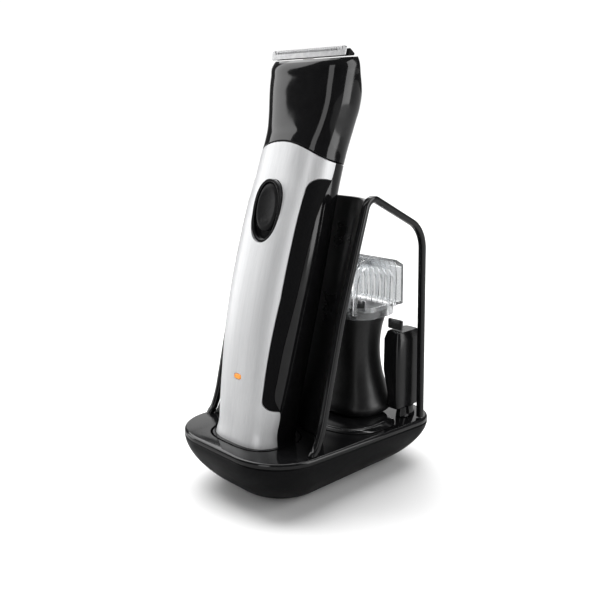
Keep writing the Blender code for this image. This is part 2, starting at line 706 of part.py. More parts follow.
def build_switch(maker, frame, front):
    maker.cut(front, maker.cutter(face_slab("switch_hole", 8.0 * MM, 12.9 * MM, SWITCH_HEIGHT,
                                            -6.0 * MM, 9.0 * MM), frame))
    bezel = maker.part("switch_bezel", face_slab("switch_bezel", 7.7 * MM, 12.6 * MM, SWITCH_HEIGHT,
                                                 -0.1 * MM, 3.6 * MM), "gloss_black", frame)
    maker.cut(bezel, maker.cutter(face_slab("bezel_pocket", 6.4 * MM, 11.4 * MM, SWITCH_HEIGHT,
                                            -4.0 * MM, 1.7 * MM), frame))
    stem_slot = box_mesh("stem_slot", (3.6 * MM, 8.0 * MM, 8.6 * MM),
                         (0.0, front_surface(SWITCH_HEIGHT) + 3.0 * MM, SWITCH_HEIGHT - 0.5 * MM))
    maker.cut(bezel, maker.cutter(stem_slot, frame))
    axis = maker.axis("power_switch_axis", (0.0, 0.0, 0.0), frame)
    pad_height = SWITCH_HEIGHT + 1.4 * MM
    pad = face_slab("switch_pad", 5.8 * MM, 9.2 * MM, pad_height, -0.3 * MM, 1.3 * MM)
    pad_part = maker.part("switch_pad", pad, "rubber", axis)
    stem = box_mesh("stem", (2.8 * MM, 3.0 * MM, 3.6 * MM),
                    (0.0, front_surface(SWITCH_HEIGHT) + 2.7 * MM, pad_height))
    maker.join(pad_part, maker.cutter(stem, axis))
    light_hole = face_slab("light_hole", 2.3 * MM, 1.3 * MM, LIGHT_HEIGHT, -6.0 * MM, 6.0 * MM, 3.0, 16)
    maker.cut(front, maker.cutter(light_hole, frame))
    light = face_slab("charge_light", 2.0 * MM, 1.0 * MM, LIGHT_HEIGHT, 0.0, 2.4 * MM, 3.0, 16)
    maker.part("charge_light", light, "amber", frame)


def build_handle_inside(maker, frame, rear):
    spine = box_mesh("chassis", (19.0 * MM, 1.8 * MM, 73.0 * MM), (0.0, -9.4 * MM, 50.5 * MM))
    maker.part("chassis", spine, "nylon", frame)
    board = box_mesh("handle_circuit_board", (15.0 * MM, 1.4 * MM, 55.0 * MM), (0.0, -11.4 * MM, 56.5 * MM))
    maker.part("handle_circuit_board", board, "board", frame)
    for side, name in ((-1.0, "left"), (1.0, "right")):
        cell = cylinder_mesh("battery_cell_" + name, 7.0 * MM, 21.0 * MM, 69.0 * MM,
                             (side * 7.3 * MM, CELL_OFFSET), 24)
        body = maker.part("battery_cell_" + name, cell, "cell_wrap", frame)
        button = cylinder_mesh("cell_button", 2.6 * MM, 68.0 * MM, 70.2 * MM,
                               (side * 7.3 * MM, CELL_OFFSET), 16)
        maker.join(body, maker.cutter(button, frame))
    can = cylinder_mesh("motor", 6.8 * MM, 71.0 * MM, MOTOR_HEIGHT, (0.0, MOTOR_OFFSET), 32)
    motor = maker.part("motor", can, "steel", frame)
    nose = cylinder_mesh("motor_nose", 3.4 * MM, MOTOR_HEIGHT - 1.0 * MM, MOTOR_HEIGHT + 2.0 * MM,
                         (0.0, MOTOR_OFFSET), 20)
    maker.join(motor, maker.cutter(nose, frame))
    shaft_bore = cylinder_mesh("shaft_bore", 1.5 * MM, 80.0 * MM, MOTOR_HEIGHT + 6.0 * MM,
                               (0.0, MOTOR_OFFSET), 16)
    maker.cut(motor, maker.cutter(shaft_bore, frame))

    for side, name in ((-1.0, "left"), (1.0, "right")):
        place = (side * 5.0 * MM, 2.0 * MM)
        bore = cylinder_mesh("plate_bore", 2.4 * MM, -3.0 * MM, 6.0 * MM, place, 20)
        maker.cut(rear, maker.cutter(bore, frame))
        plate = cylinder_mesh("charging_plate_" + name, 2.1 * MM, 0.3 * MM, 1.7 * MM, place, 20)
        maker.part("charging_plate_" + name, plate, "brass", frame)

    collar_sections = (
        (112.5, 12.6, 9.2, 7.6), (119.5, 12.6, 9.2, 7.6), (126.5, 11.8, 8.4, 6.9),
    )
    collar_mesh = oval_solid("neck_collar", collar_sections, 2.4)
    collar = maker.part("neck_collar", collar_mesh, "satin_black", frame)
    collar_bore = cylinder_mesh("collar_bore", 5.6 * MM, 100.0 * MM, 140.0 * MM, (0.0, MOTOR_OFFSET), 28)
    maker.cut(collar, maker.cutter(collar_bore, frame))
    ring_sections = ((114.0, 16.0, 10.5, 8.8), (116.4, 16.0, 10.5, 8.8))
    ring = maker.part("seal_ring", oval_solid("seal_ring", ring_sections, 2.5), "rubber", frame)
    core_sections = ((110.0, 12.9, 9.5, 7.9), (130.0, 12.9, 9.5, 7.9))
    maker.cut(ring, maker.cutter(oval_solid("ring_core", core_sections, 2.4), frame))


def build_rotor(maker, frame):
    axis = maker.axis("motor_spin_axis", (0.0, MOTOR_OFFSET, 0.0), frame)
    shaft = cylinder_mesh("motor_shaft", 1.2 * MM, 82.0 * MM, 104.0 * MM, (0.0, 0.0), 16)
    maker.part("motor_shaft", shaft, "steel", axis)
    cam = cylinder_mesh("eccentric_cam", 4.0 * MM, 104.3 * MM, 109.0 * MM, (0.0, 0.0), 24)
    cam_part = maker.part("eccentric_cam", cam, "nylon", axis)
    pin = cylinder_mesh("eccentric_pin", 1.0 * MM, 108.0 * MM, 132.0 * MM, (CUTTER_TRAVEL, 0.0), 14)
    maker.join(cam_part, maker.cutter(pin, axis))


# ---------------------------------------------------------------- cutting heads

def toothed_blade(name, half_width, low, high, thickness, pitch, root):
    """A steel strip in the X-Z plane with a row of teeth along its upper edge, between plain ends."""
    chamfer = 0.5 * MM
    end = half_width - 1.4 * MM
    teeth = int(2.0 * end / pitch)
    start = -teeth * pitch / 2.0
    outline = [(-half_width, low), (half_width, low), (half_width, high - chamfer)]
    outline += [(half_width - chamfer, high), (end, high)]
    for index in reversed(range(teeth)):
        left = start + index * pitch
        for share, height in ((0.74, root), (0.6, high), (0.4, high), (0.26, root)):
            outline.append((left + pitch * share, height))
    outline += [(-end, high), (chamfer - half_width, high), (-half_width, high - chamfer)]
    work = bmesh.new()
    rows = []
    for y in (-thickness / 2.0, thickness / 2.0):
        rows.append([work.verts.new((x, y, z)) for x, z in outline])
    count = len(outline)
    work.faces.new(rows[0])
    work.faces.new(list(reversed(rows[1])))
    for i in range(count):
        j = (i + 1) % count
        work.faces.new((rows[0][j], rows[0][i], rows[1][i], rows[1][j]))
    return mesh_from(name, work, smooth=False)


def blade_pair(maker, names, parents, sizes, place, thickness, pitch):
    """A fixed guard blade and the moving blade just behind it."""
    for name, parent, (half_width, low, root, high), depth in zip(names, parents, sizes, place):
        mesh = toothed_blade(name, half_width * MM, low, high, thickness, pitch, root)
        mesh.transform(Matrix.Translation(Vector((0.0, depth, 0.0))))
        maker.part(name, mesh, "steel", parent)


def build_head(maker, frame):
    axis = maker.axis("head_release_axis", (0.0, 0.0, 0.0), frame)
    rings = []
    for height, half_x, front, rear, rise in HEAD_SECTIONS:
        outline = oval(half_x * MM, front * MM, rear * MM)
        rings.append([Vector((x, y, height * MM + rise * y)) for x, y in outline])
    for index, share in enumerate((1.0, 0.6, 0.2)):
        raise_front(rings[index], HEAD_SECTIONS[index][1] * MM, COLLAR_ARCH * share)
    housing = maker.part("head_housing", loft("head_housing", rings, arched=True), "gloss_black", axis)
    mouth_sections = (
        (118.0, 14.0, 9.8, 8.8), (128.5, 14.0, 9.8, 8.8), (129.0, 12.4, 8.6, 10.0),
        (146.0, 15.6, 8.6, 11.5), (153.0, 15.0, 8.6, 7.0), (155.5, 6.5, 8.0, 0.5),
        (172.0, 6.5, 8.0, 0.5),
    )
    maker.cut(housing, maker.cutter(oval_solid("head_hollow", mouth_sections, 2.6), axis))
    seat_outline = (
        (-4.9, 161.0), (-4.9, 163.8), (-4.3, 164.2), (-1.4, 163.0), (-1.4, 162.2),
    )
    seat_rings = [[Vector((x, y * MM, z * MM)) for y, z in seat_outline] for x in (-20.0 * MM, 20.0 * MM)]
    maker.part("blade_seat", loft("blade_seat", seat_rings), "satin_black", axis)

    cutter_axis = maker.axis("cutter_slide_axis", (0.0, 0.0, 0.0), axis)
    low = BLADE_BOTTOM
    blade_pair(
        maker, ("guard_blade", "moving_blade"), (axis, cutter_axis),
        ((20.5, low, low + 2.0 * MM, low + 3.7 * MM),
         (17.5, low + 0.4 * MM, low + 1.8 * MM, low + 3.4 * MM)),
        (BLADE_DEPTH - 3.0 * MM, BLADE_DEPTH - 1.9 * MM), 0.7 * MM, 1.0 * MM,
    )
    fork_middle = (0.0, MOTOR_OFFSET, 134.0 * MM)
    fork = box_mesh("drive_fork", (11.6 * MM, 4.0 * MM, 9.0 * MM), fork_middle)
    fork_part = maker.part("drive_fork", fork, "nylon", cutter_axis)
    stalk = box_mesh("stalk", (5.0 * MM, 1.6 * MM, 24.0 * MM), (0.0, 0.0, 0.0))
    stalk_body = maker.cutter(stalk, cutter_axis)
    stalk_body.rotation_euler = (math.radians(12.6), 0.0, 0.0)
    stalk_body.location = (0.0, -3.3 * MM, 148.8 * MM)
    maker.join(fork_part, stalk_body)
    slot = box_mesh("fork_slot", (7.6 * MM, 8.0 * MM, 8.0 * MM), (0.0, MOTOR_OFFSET, 131.0 * MM))
    maker.cut(fork_part, maker.cutter(slot, cutter_axis))


def build_spare_head(maker):
    axis = maker.axis("spare_head_axis", SPARE_PLACE)
    sections = [(z, half_x, half_y, half_y) for z, half_x, half_y in SPARE_SECTIONS]
    form = oval_solid("spare_head_housing", sections, 2.8, 36)
    housing = maker.part("spare_head_housing", form, "satin_black", axis)
    hollow_sections = ((20.0, 13.0, 10.0, 10.0), (40.0, 10.6, 8.2, 8.2), (60.0, 10.2, 7.8, 7.8))
    maker.cut(housing, maker.cutter(oval_solid("spare_hollow", hollow_sections, 2.6, 28), axis))
    cutter_axis = maker.axis("spare_cutter_axis", (0.0, 0.0, 0.0), axis)
    blade_pair(
        maker, ("spare_guard_blade", "spare_moving_blade"), (axis, cutter_axis),
        ((13.6, 70.9 * MM, 74.0 * MM, 75.8 * MM), (11.6, 71.2 * MM, 73.8 * MM, 75.4 * MM)),
        (-6.6 * MM, -5.4 * MM), 0.8 * MM, 1.6 * MM,
    )


def build_comb(maker):
    """A clear comb: a frame that drops over the spare head's top, with arched teeth above it."""
    axis = maker.axis("guide_comb_axis", SPARE_PLACE)
    sections = ((68.2, 17.2, 14.2, 14.2), (73.0, 17.0, 14.0, 14.0))
    comb = maker.part("guide_comb", oval_solid("guide_comb", sections, 3.2, 36), "clear", axis)
    core = oval_solid("comb_core", ((60.0, 15.7, 12.7, 12.7), (80.0, 15.7, 12.7, 12.7)), 3.2, 36)
    maker.cut(comb, maker.cutter(core, axis))
    tooth_outline = (
        (-13.6, 71.0), (-13.2, 88.0), (-9.0, 93.6), (4.0, 93.0), (12.0, 90.0), (13.6, 84.0),
        (13.6, 71.0), (12.0, 71.0), (11.6, 82.0), (9.4, 86.4), (3.0, 89.2), (-8.0, 89.8),
        (-11.0, 86.4), (-12.0, 71.0),
    )
    for index in range(-4, 5):
        rings = [[Vector((x * MM, y * MM, z * MM)) for y, z in tooth_outline]
                 for x in (index * 3.3 - 0.55, index * 3.3 + 0.55)]
        maker.join(comb, maker.cutter(loft("comb_tooth", rings, smooth=False), axis))
    back_outline = (
        (13.0, 71.0), (18.0, 71.0), (17.6, 88.5), (12.6, 91.2), (12.0, 89.6), (16.2, 87.4),
        (16.6, 72.3), (13.0, 72.3),
    )
    back_reach = 14.0 * MM
    back_rings = [[Vector((x, y * MM, z * MM)) for y, z in back_outline] for x in (-back_reach, back_reach)]
    maker.join(comb, maker.cutter(loft("comb_back", back_rings, smooth=False), axis))


def leaning_solid(name, sections, power, count):
    """A loft of ovals whose middles step sideways with height."""
    rings = []
    for height, lean, half_x, half_y in sections:
        outline = oval(half_x * MM, half_y * MM, half_y * MM, (power, power), count)
        rings.append([Vector((lean * MM + x, y, height * MM)) for x, y in outline])
    return loft(name, rings)


def build_precision(maker):
    axis = maker.axis("precision_trimmer_axis", PRECISION_PLACE)
    form = leaning_solid("precision_housing", PRECISION_SECTIONS, 6.0, 40)
    housing = maker.part("precision_housing", form, "satin_black", axis)
    hollow = leaning_solid("precision_hollow", PRECISION_HOLLOW, 4.0, 28)
    maker.cut(housing, maker.cutter(hollow, axis))
    guard_axis = maker.axis("precision_guard_axis", (PRECISION_BLADE_MIDDLE, 0.0, 0.0), axis)
    cutter_axis = maker.axis("precision_cutter_axis", (PRECISION_BLADE_MIDDLE, 0.0, 0.0), axis)
    blade_pair(
        maker, ("precision_guard_blade", "precision_moving_blade"), (guard_axis, cutter_axis),
        ((3.9, 61.9 * MM, 64.8 * MM, 66.4 * MM), (2.7, 62.2 * MM, 64.6 * MM, 66.0 * MM)),
        (-3.4 * MM, -2.2 * MM), 0.8 * MM, 1.1 * MM,
    )


def main():
    clear_scene()
    maker = Maker()
    deck = build_base(maker)
    build_bottom(maker)
    build_stand_inside(maker)
    frame = maker.axis("handle_lift_axis", HANDLE_FOOT)
    frame.rotation_euler = (-LEAN, 0.0, 0.0)
    bpy.context.view_layer.update()
    build_cup(maker, frame, deck)
    build_shield(maker)
    build_loops(maker)
    build_pedestals(maker)
    front, rear = build_shells(maker, frame)
    build_switch(maker, frame, front)
    build_handle_inside(maker, frame, rear)
    build_rotor(maker, frame)
    build_head(maker, frame)
    build_spare_head(maker)
    build_comb(maker)
    build_precision(maker)
    bpy.context.view_layer.update()


main()
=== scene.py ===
"""Looks of the body groomer in its charging stand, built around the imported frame.

The frame is in metres, with +Z up and -Y the front; sizes here are millimetres unless a comment says
otherwise. Heights and depths of the handle and its head are given in the handle's own leaning frame,
whose Z runs up the handle and whose -Y is its front.
"""

import json
import math

import bmesh
import bpy
from mathutils import Matrix, Vector

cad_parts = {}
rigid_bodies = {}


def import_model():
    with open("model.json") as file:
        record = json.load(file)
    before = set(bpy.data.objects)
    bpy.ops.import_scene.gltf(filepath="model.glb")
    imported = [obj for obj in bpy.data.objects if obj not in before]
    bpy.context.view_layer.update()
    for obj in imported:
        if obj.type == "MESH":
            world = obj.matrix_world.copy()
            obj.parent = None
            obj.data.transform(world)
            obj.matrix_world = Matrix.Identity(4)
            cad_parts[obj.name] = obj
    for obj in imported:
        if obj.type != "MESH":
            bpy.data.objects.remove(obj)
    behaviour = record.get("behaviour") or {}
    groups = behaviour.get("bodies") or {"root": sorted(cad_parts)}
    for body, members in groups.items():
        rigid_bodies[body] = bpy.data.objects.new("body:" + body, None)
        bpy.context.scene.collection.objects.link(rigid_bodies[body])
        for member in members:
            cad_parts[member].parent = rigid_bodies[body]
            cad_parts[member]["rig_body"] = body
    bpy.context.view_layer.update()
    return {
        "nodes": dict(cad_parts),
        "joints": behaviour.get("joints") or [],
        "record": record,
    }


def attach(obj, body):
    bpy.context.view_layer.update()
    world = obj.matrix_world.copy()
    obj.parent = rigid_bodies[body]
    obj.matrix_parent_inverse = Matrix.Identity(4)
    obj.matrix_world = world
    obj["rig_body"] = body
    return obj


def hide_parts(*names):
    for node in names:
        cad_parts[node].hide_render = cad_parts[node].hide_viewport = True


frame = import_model()

MM = 0.001
NODES = frame["nodes"]
JOINTS = {joint["name"]: joint for joint in frame["joints"]}
SIDES = ((-1.0, "left"), (1.0, "right"))
SHARP_ANGLE = math.radians(38.0)
NOISE_LOW, NOISE_HIGH = 0.3, 0.7    # the range that a noise texture's values mostly keep to

# ---------------------------------------------------------------- the handle's frame

MOTOR_OFFSET = -0.6 * MM            # local Y and Z of the point where the motor's joint is given
MOTOR_HEIGHT = 94.0 * MM
handle_up = Vector(JOINTS["handle_lift"]["axis"]).normalized()
handle_back = handle_up.cross(Vector((1.0, 0.0, 0.0)))
motor_point = Vector(JOINTS["motor_spin"]["pos_m"])
handle_foot = motor_point - handle_up * MOTOR_HEIGHT - handle_back * MOTOR_OFFSET
HANDLE = Matrix.Translation(handle_foot) @ Matrix(
    ((1.0, 0.0, 0.0), (0.0, handle_back.y, handle_up.y), (0.0, handle_back.z, handle_up.z))
).to_4x4()
LEAN = math.atan2(handle_up.y, handle_up.z)

# ---------------------------------------------------------------- sizes, in millimetres

# Handle section: height, half width, front half depth, rear half depth.
HANDLE_SECTIONS = (
    (0.0, 13.0, 11.6, 11.0), (1.6, 14.8, 13.0, 12.4), (12.0, 16.1, 14.4, 12.6),
    (30.0, 17.6, 16.3, 10.6), (50.0, 18.8, 17.8, 9.4), (68.0, 19.4, 17.8, 9.2),
    (84.0, 19.5, 16.9, 9.4), (100.0, 19.2, 15.5, 10.0), (112.0, 18.7, 13.6, 11.0),
    (121.0, 18.5, 12.3, 12.2),
)
# Head section: height, half width, front and rear half depth, rise towards the rear, arch share.
HEAD_SECTIONS = (
    (121.7, 18.3, 12.2, 12.6, 0.0, 1.0), (126.5, 18.0, 11.7, 13.8, 0.0, 0.6),
    (132.0, 18.3, 11.0, 14.8, 0.0, 0.2), (139.0, 19.4, 10.8, 15.3, 0.0, 0.0),
    (145.0, 20.3, 11.2, 15.8, 0.04, 0.0), (150.0, 20.7, 11.7, 14.6, 0.12, 0.0),
    (155.0, 20.9, 11.9, 10.6, 0.22, 0.0), (161.2, 20.5, 11.8, 4.8, 0.32, 0.0),
    (162.2, 19.9, 11.3, 4.2, 0.32, 0.0),
)
# The room inside the head: height, half width, front and rear half depth. Its narrow upper end lets
# the drive fork through to the blade.
HEAD_HOLLOW = (
    (118.0, 14.0, 9.8, 8.8), (128.5, 14.0, 9.8, 8.8), (129.0, 12.4, 8.6, 10.0),
    (146.0, 15.6, 8.6, 11.5), (153.0, 15.0, 8.6, 7.0), (155.5, 6.5, 8.0, 0.5),
    (172.0, 6.5, 8.0, 0.5),
)
FRONT_POWER = 3.0                   # squareness of the oval's front half
REAR_POWER = 2.3                    # and of its rear half
COLLAR_ARCH = 5.4                   # rise of the joint between shell and head at the front
ARCH_START = 112.0                  # height where the front shell starts to arch up
SHELL_WALL = 2.0
# Joint between front and rear shell, seen from the side: local Y, height.
PART_ROUTE = (
    (-3.6, -20.0), (-3.8, 4.0), (-5.2, 14.0), (-5.8, 20.5), (-9.6, 26.0), (-10.4, 35.0),
    (-10.6, 48.0), (-10.0, 58.0), (-9.3, 68.0), (-8.6, 80.0), (-7.5, 91.0), (-6.4, 98.5),
    (-4.7, 104.5), (-2.8, 110.0), (-1.2, 114.0), (-0.4, 118.0), (-0.4, 140.0),
)
# Inner edge of a grip seen from the front: distance from the middle, height.
GRIP_EDGE = ((12.8, 21.6), (13.3, 34.0), (15.2, 66.0), (15.4, 114.6))
GRIP_CORNER = 6.0
GRIP_DEPTH = 1.6
SWITCH_HEIGHT = 98.6
SWITCH_HOLE = (7.9, 12.8)           # half width and half height
SWITCH_POWER = 2.2                  # squareness of the switch's oval
LIGHT_HEIGHT = 32.0
LIGHT_HOLE = (2.2, 1.2)
LIGHT_POWER = 3.0
CHARGE_PLATE_SIDE = 5.0             # how far the charging plates stand from the middle
CHARGE_PLATE_BACK = 2.0
CHARGE_PLATE_BORE = 2.4
BLADE_BOTTOM = 160.6
GUARD_DEPTH = -7.0                  # local Y of the cutting head's two blades
CUTTER_DEPTH = -5.9

# Stand.
BASE_HALF_WIDTH = 34.5
BASE_HALF_DEPTH = 51.5
BASE_FRONT_RADIUS = 22.0
BASE_REAR_RADIUS = 15.5
BASE_TAPER = 13.0
BASE_FRONT_TAPER = 2.0
BASE_ROLL = 1.8                     # how late the wall turns in: 1 would be a straight taper
BASE_CORNER_SHARE = 0.4             # share of the taper that the corners' radii lose
BASE_WALL = 2.2
BASE_BOTTOM = 1.2
PARTING_HEIGHT = 20.5
DECK_THICKNESS = 2.5
DECK_SLOPE = 0.0388
DECK_RIM = 1.15                     # radius of the deck's upper edge
CUP_ROOM = 2.7                      # from the handle's foot to the deck's opening
INLET_HEIGHT = 11.5
INLET_HALF_WIDTH = 6.3
INLET_HALF_HEIGHT = 3.8
SHIELD_TOP = 120.4
SHIELD_THICKNESS = 2.2
SHIELD_HALF_WIDTH = 30.6
SHIELD_TROUGH = 17.0
# Across the shield: distance from the middle, share of the way from the trough to the wing's edge.
SHIELD_PROFILE = (
    (0.0, 0.0), (10.0, 0.015), (16.0, 0.06), (20.0, 0.19), (23.5, 0.43), (27.0, 0.74), (30.6, 1.0),
)
# Wing's edge and loop's front leg, seen from the side: depth, height.
LEG_ROUTE = (
    (-28.6, 24.5), (-26.8, 26.2), (-25.4, 28.8), (-23.8, 33.0), (-21.6, 41.5), (-19.2, 52.0),
    (-13.4, 76.0),
)
LOOP_FRONT_CORNER = (1.2, 122.8)
LOOP_REAR_CORNER = (35.8, 106.2)
LOOP_COLUMN_FOOT = (38.8, 22.1)
LOOP_FRONT_RADIUS = 4.5
LOOP_REAR_RADIUS = 14.0
LOOP_MIDDLE = 32.1                  # how far a loop stands from the stand's middle
LOOP_WIDTH = 2.8
LOOP_DEPTH = 2.6
LOOP_CORNER = 0.75

# Stored attachments. Section height, half width, half depth.
SPARE_SECTIONS = (
    (24.4, 16.8, 13.6), (25.3, 17.6, 14.4), (33.0, 16.4, 13.2), (42.0, 13.8, 11.0),
    (52.0, 12.6, 10.0), (62.0, 13.4, 10.6), (69.0, 15.0, 12.0), (70.6, 15.2, 12.2),
)
SPARE_HOLLOW = ((20.0, 13.0, 10.0), (40.0, 10.6, 8.2), (60.0, 10.2, 7.8))
COMB_SKIRT = ((68.2, 17.2, 14.2), (69.4, 17.3, 14.3), (73.0, 17.0, 14.0))
COMB_CORE = ((60.0, 15.7, 12.7), (80.0, 15.7, 12.7))
# Section height, how far the middle leans to the right, half width, half depth.
PRECISION_SECTIONS = (
    (27.0, 1.5, 3.2, 7.6), (28.0, 1.5, 3.3, 8.0), (34.0, 1.5, 3.35, 8.2), (44.0, 0.15, 4.7, 8.2),
    (58.0, 0.15, 4.7, 8.2), (61.6, 0.0, 3.7, 6.8),
)
PRECISION_HOLLOW = (
    (20.0, 1.5, 1.8, 6.0), (34.0, 1.5, 1.9, 6.6), (44.0, 0.2, 3.1, 6.6), (52.0, 0.2, 3.1, 6.4),
)
# Outline of a comb tooth and of the comb's back wall, seen from the side: depth, height.
TOOTH_OUTSIDE = (
    (-13.6, 70.4), (-13.6, 80.0), (-13.0, 88.0), (-9.4, 93.0), (-2.0, 93.6), (5.0, 92.8),
    (11.6, 90.2), (13.5, 85.0), (13.6, 78.0), (13.6, 70.4),
)
TOOTH_INSIDE = (
    (12.0, 70.4), (12.0, 78.0), (11.4, 83.0), (9.2, 86.8), (3.0, 89.2), (-4.0, 90.2),
    (-8.6, 89.4), (-11.0, 86.0), (-12.0, 79.0), (-12.0, 70.4),
)
COMB_BACK = (
    (13.0, 70.8), (18.0, 70.8), (18.0, 72.0), (17.6, 88.5), (12.6, 91.2), (12.0, 89.6),
    (16.2, 87.4), (16.7, 72.2), (13.0, 72.2),
)
COMB_HALF_WIDTH = 14.0
COMB_TEETH_A_SIDE = 4
COMB_PITCH = 3.3
COMB_TOOTH_HALF = 0.5
SPARE_MIDDLE = Vector((4.0, 24.0, 0.0))
PRECISION_MIDDLE = Vector((24.0, 34.8, 0.0))
PRECISION_BLADE = Vector((22.8, 31.4, 0.0))     # under the middle of its guard blade

# CAD nodes whose shapes are carried over, with the width of their eased edges.
EASED_NODES = {
    "foot_cup": 0.3, "head_pedestal": 0.35, "precision_pedestal": 0.3, "bottom_cover": 0.3,
    "power_inlet": 0.15, "neck_collar": 0.3, "blade_seat": 0.2, "seal_ring": 0.3,
    "foot_front_left": 0.3, "foot_front_right": 0.3, "foot_rear_left": 0.3, "foot_rear_right": 0.3,
}

# Camera: angles in degrees, lengths in millimetres.
CAMERA_TURN = 46.1
CAMERA_PITCH = 13.4
CAMERA_DISTANCE = 318.5
CAMERA_SIDE = 2.8
CAMERA_HEIGHT = 153.4
CAMERA_AIM_Y = -8.15
CAMERA_LENS = 47.13
SENSOR_WIDTH = 36.0

# Light. Places and sizes are in metres, and the softboxes' powers in watts.
WHITE = (1.0, 1.0, 1.0, 1.0)
BACKDROP_STRENGTH = 1.05            # what the camera sees behind the object
AMBIENT_STRENGTH = 0.09             # what the object gets from all round
SUN_STRENGTH = 4.1
SUN_WIDTH = 75.0                    # degrees
SUN_DIRECTION = Vector((0.42, -0.30, -1.0))
LIGHT_AIM = Vector((0.0, 0.0, 0.09))
# Softbox: name, place, width and height, power.
SOFTBOXES = (
    ("left_softbox", (-0.72, -0.34, 0.40), (0.42, 2.2), 9.5),
    ("front_strip", (0.36, -0.82, 0.30), (0.34, 0.9), 2.6),
    ("right_softbox", (0.66, 0.42, 0.36), (0.40, 0.8), 4.0),
    ("rear_softbox", (-0.72, 0.69, 0.26), (0.9, 0.34), 0.9),
)
GROUND_SIZE = 8.0


# ---------------------------------------------------------------- shader helpers

class Shade:
    """One material's node tree, with short calls for the nodes that the finishes use."""

    def __init__(self, name):
        self.material = bpy.data.materials.new(name)
        self.material.use_nodes = True
        self.tree = self.material.node_tree
        self.shader = self.tree.nodes["Principled BSDF"]

    def node(self, kind, **settings):
        made = self.tree.nodes.new(kind)
        for key, value in settings.items():
            setattr(made, key, value)
        return made

    def link(self, source, target):
        self.tree.links.new(source, target)

    def coordinates(self, scale=(1.0, 1.0, 1.0), lean=0.0):
        """Object coordinates, turned so that Z runs along a leaning part, then stretched."""
        place = self.node("ShaderNodeTexCoord")
        turn = self.node("ShaderNodeMapping")
        turn.inputs["Rotation"].default_value = (lean, 0.0, 0.0)
        self.link(place.outputs["Object"], turn.inputs["Vector"])
        stretch = self.node("ShaderNodeMapping")
        stretch.inputs["Scale"].default_value = scale
        self.link(turn.outputs["Vector"], stretch.inputs["Vector"])
        return stretch.outputs["Vector"]

    def noise(self, vector, scale, detail, roughness=0.55):
        made = self.node("ShaderNodeTexNoise")
        made.inputs["Scale"].default_value = scale
        made.inputs["Detail"].default_value = detail
        made.inputs["Roughness"].default_value = roughness
        self.link(vector, made.inputs["Vector"])
        return made.outputs["Fac"]

    def spread(self, factor, low, high):
        """Stretch a noise's usual range over low to high."""
        made = self.node("ShaderNodeMapRange")
        made.inputs["From Min"].default_value = NOISE_LOW
        made.inputs["From Max"].default_value = NOISE_HIGH
        made.inputs["To Min"].default_value = low
        made.inputs["To Max"].default_value = high
        self.link(factor, made.inputs["Value"])
        return made.outputs["Result"]

    def ramp(self, factor, stops):
        made = self.node("ShaderNodeValToRGB")
        elements = made.color_ramp.elements
        while len(elements) < len(stops):
            elements.new(0.5)
        for element, (position, colour) in zip(elements, stops):
            element.position = position
            element.color = (*colour, 1.0)
        self.link(factor, made.inputs["Fac"])
        return made.outputs["Color"]

    def colour(self, factor, dark, light):
        stops = ((NOISE_LOW, dark), (NOISE_HIGH, light))
        self.link(self.ramp(factor, stops), self.shader.inputs["Base Color"])

    def roughness(self, factor, low, high):
        self.link(self.spread(factor, low, high), self.shader.inputs["Roughness"])

    def bump(self, height, distance, strength):
        """Raise the surface by distance, in metres."""
        made = self.node("ShaderNodeBump")
        made.inputs["Distance"].default_value = distance
        made.inputs["Strength"].default_value = strength
        self.link(height, made.inputs["Height"])
        self.link(made.outputs["Normal"], self.shader.inputs["Normal"])

    def constants(self, **values):
        for key, value in values.items():
            self.shader.inputs[key.replace("_", " ")].default_value = value


def gloss_plastic(name, dark, light, low=0.05, high=0.13, shine=0.34):
    """Polished moulded plastic: faint handling haze and the mould's long, shallow waviness."""
    shade = Shade(name)
    place = shade.coordinates()
    haze = shade.noise(place, 60.0, 5.0)
    shade.colour(shade.noise(place, 240.0, 2.0), dark, light)
    shade.roughness(haze, low, high)
    shade.bump(shade.noise(place, 420.0, 2.0), 0.012 * MM, 0.35)
    shade.constants(IOR=1.5, Specular_IOR_Level=shine)
    return shade.material


def satin_plastic(name, dark, light, low=0.34, high=0.46, grain=5200.0, shine=0.06):
    """Spark-eroded moulding texture: a fine even grain with slow changes of sheen."""
    shade = Shade(name)
    place = shade.coordinates()
    fine = shade.noise(place, grain, 2.0, 0.7)
    shade.colour(shade.noise(place, 900.0, 4.0), dark, light)
    shade.roughness(shade.noise(place, 110.0, 4.0), low, high)
    shade.bump(fine, 0.02 * MM, 0.45)
    shade.constants(Specular_IOR_Level=shine)
    return shade.material


def brushed_silver():
    """Silver lacquer with fine lengthwise brushing, along the leaning handle."""
    shade = Shade("brushed_silver")
    strands = shade.coordinates((1.0, 1.0, 0.012), LEAN)
    hair = shade.noise(strands, 4200.0, 3.0, 0.65)
    broad = shade.noise(strands, 700.0, 2.0)
    mixed = shade.node("ShaderNodeMath", operation="ADD")
    shade.link(hair, mixed.inputs[0])
    shade.link(broad, mixed.inputs[1])
    half = shade.node("ShaderNodeMath", operation="MULTIPLY")
    half.inputs[1].default_value = 0.5
    shade.link(mixed.outputs["Value"], half.inputs[0])
    grain = half.outputs["Value"]
    shade.colour(grain, (0.60, 0.605, 0.612), (0.70, 0.703, 0.71))
    shade.roughness(grain, 0.36, 0.46)
    shade.bump(hair, 0.01 * MM, 0.4)
    shade.constants(Metallic=0.3)
    return shade.material


def grip_rubber(name, dark, light, low=0.52, high=0.66):
    """Soft-touch rubber with a fine, slightly uneven matte skin."""
    shade = Shade(name)
    place = shade.coordinates()
    shade.colour(shade.noise(place, 1600.0, 4.0), dark, light)
    shade.roughness(shade.noise(place, 240.0, 4.0), low, high)
    shade.bump(shade.noise(place, 3600.0, 3.0, 0.7), 0.03 * MM, 0.5)
    shade.constants(Specular_IOR_Level=0.05)
    return shade.material


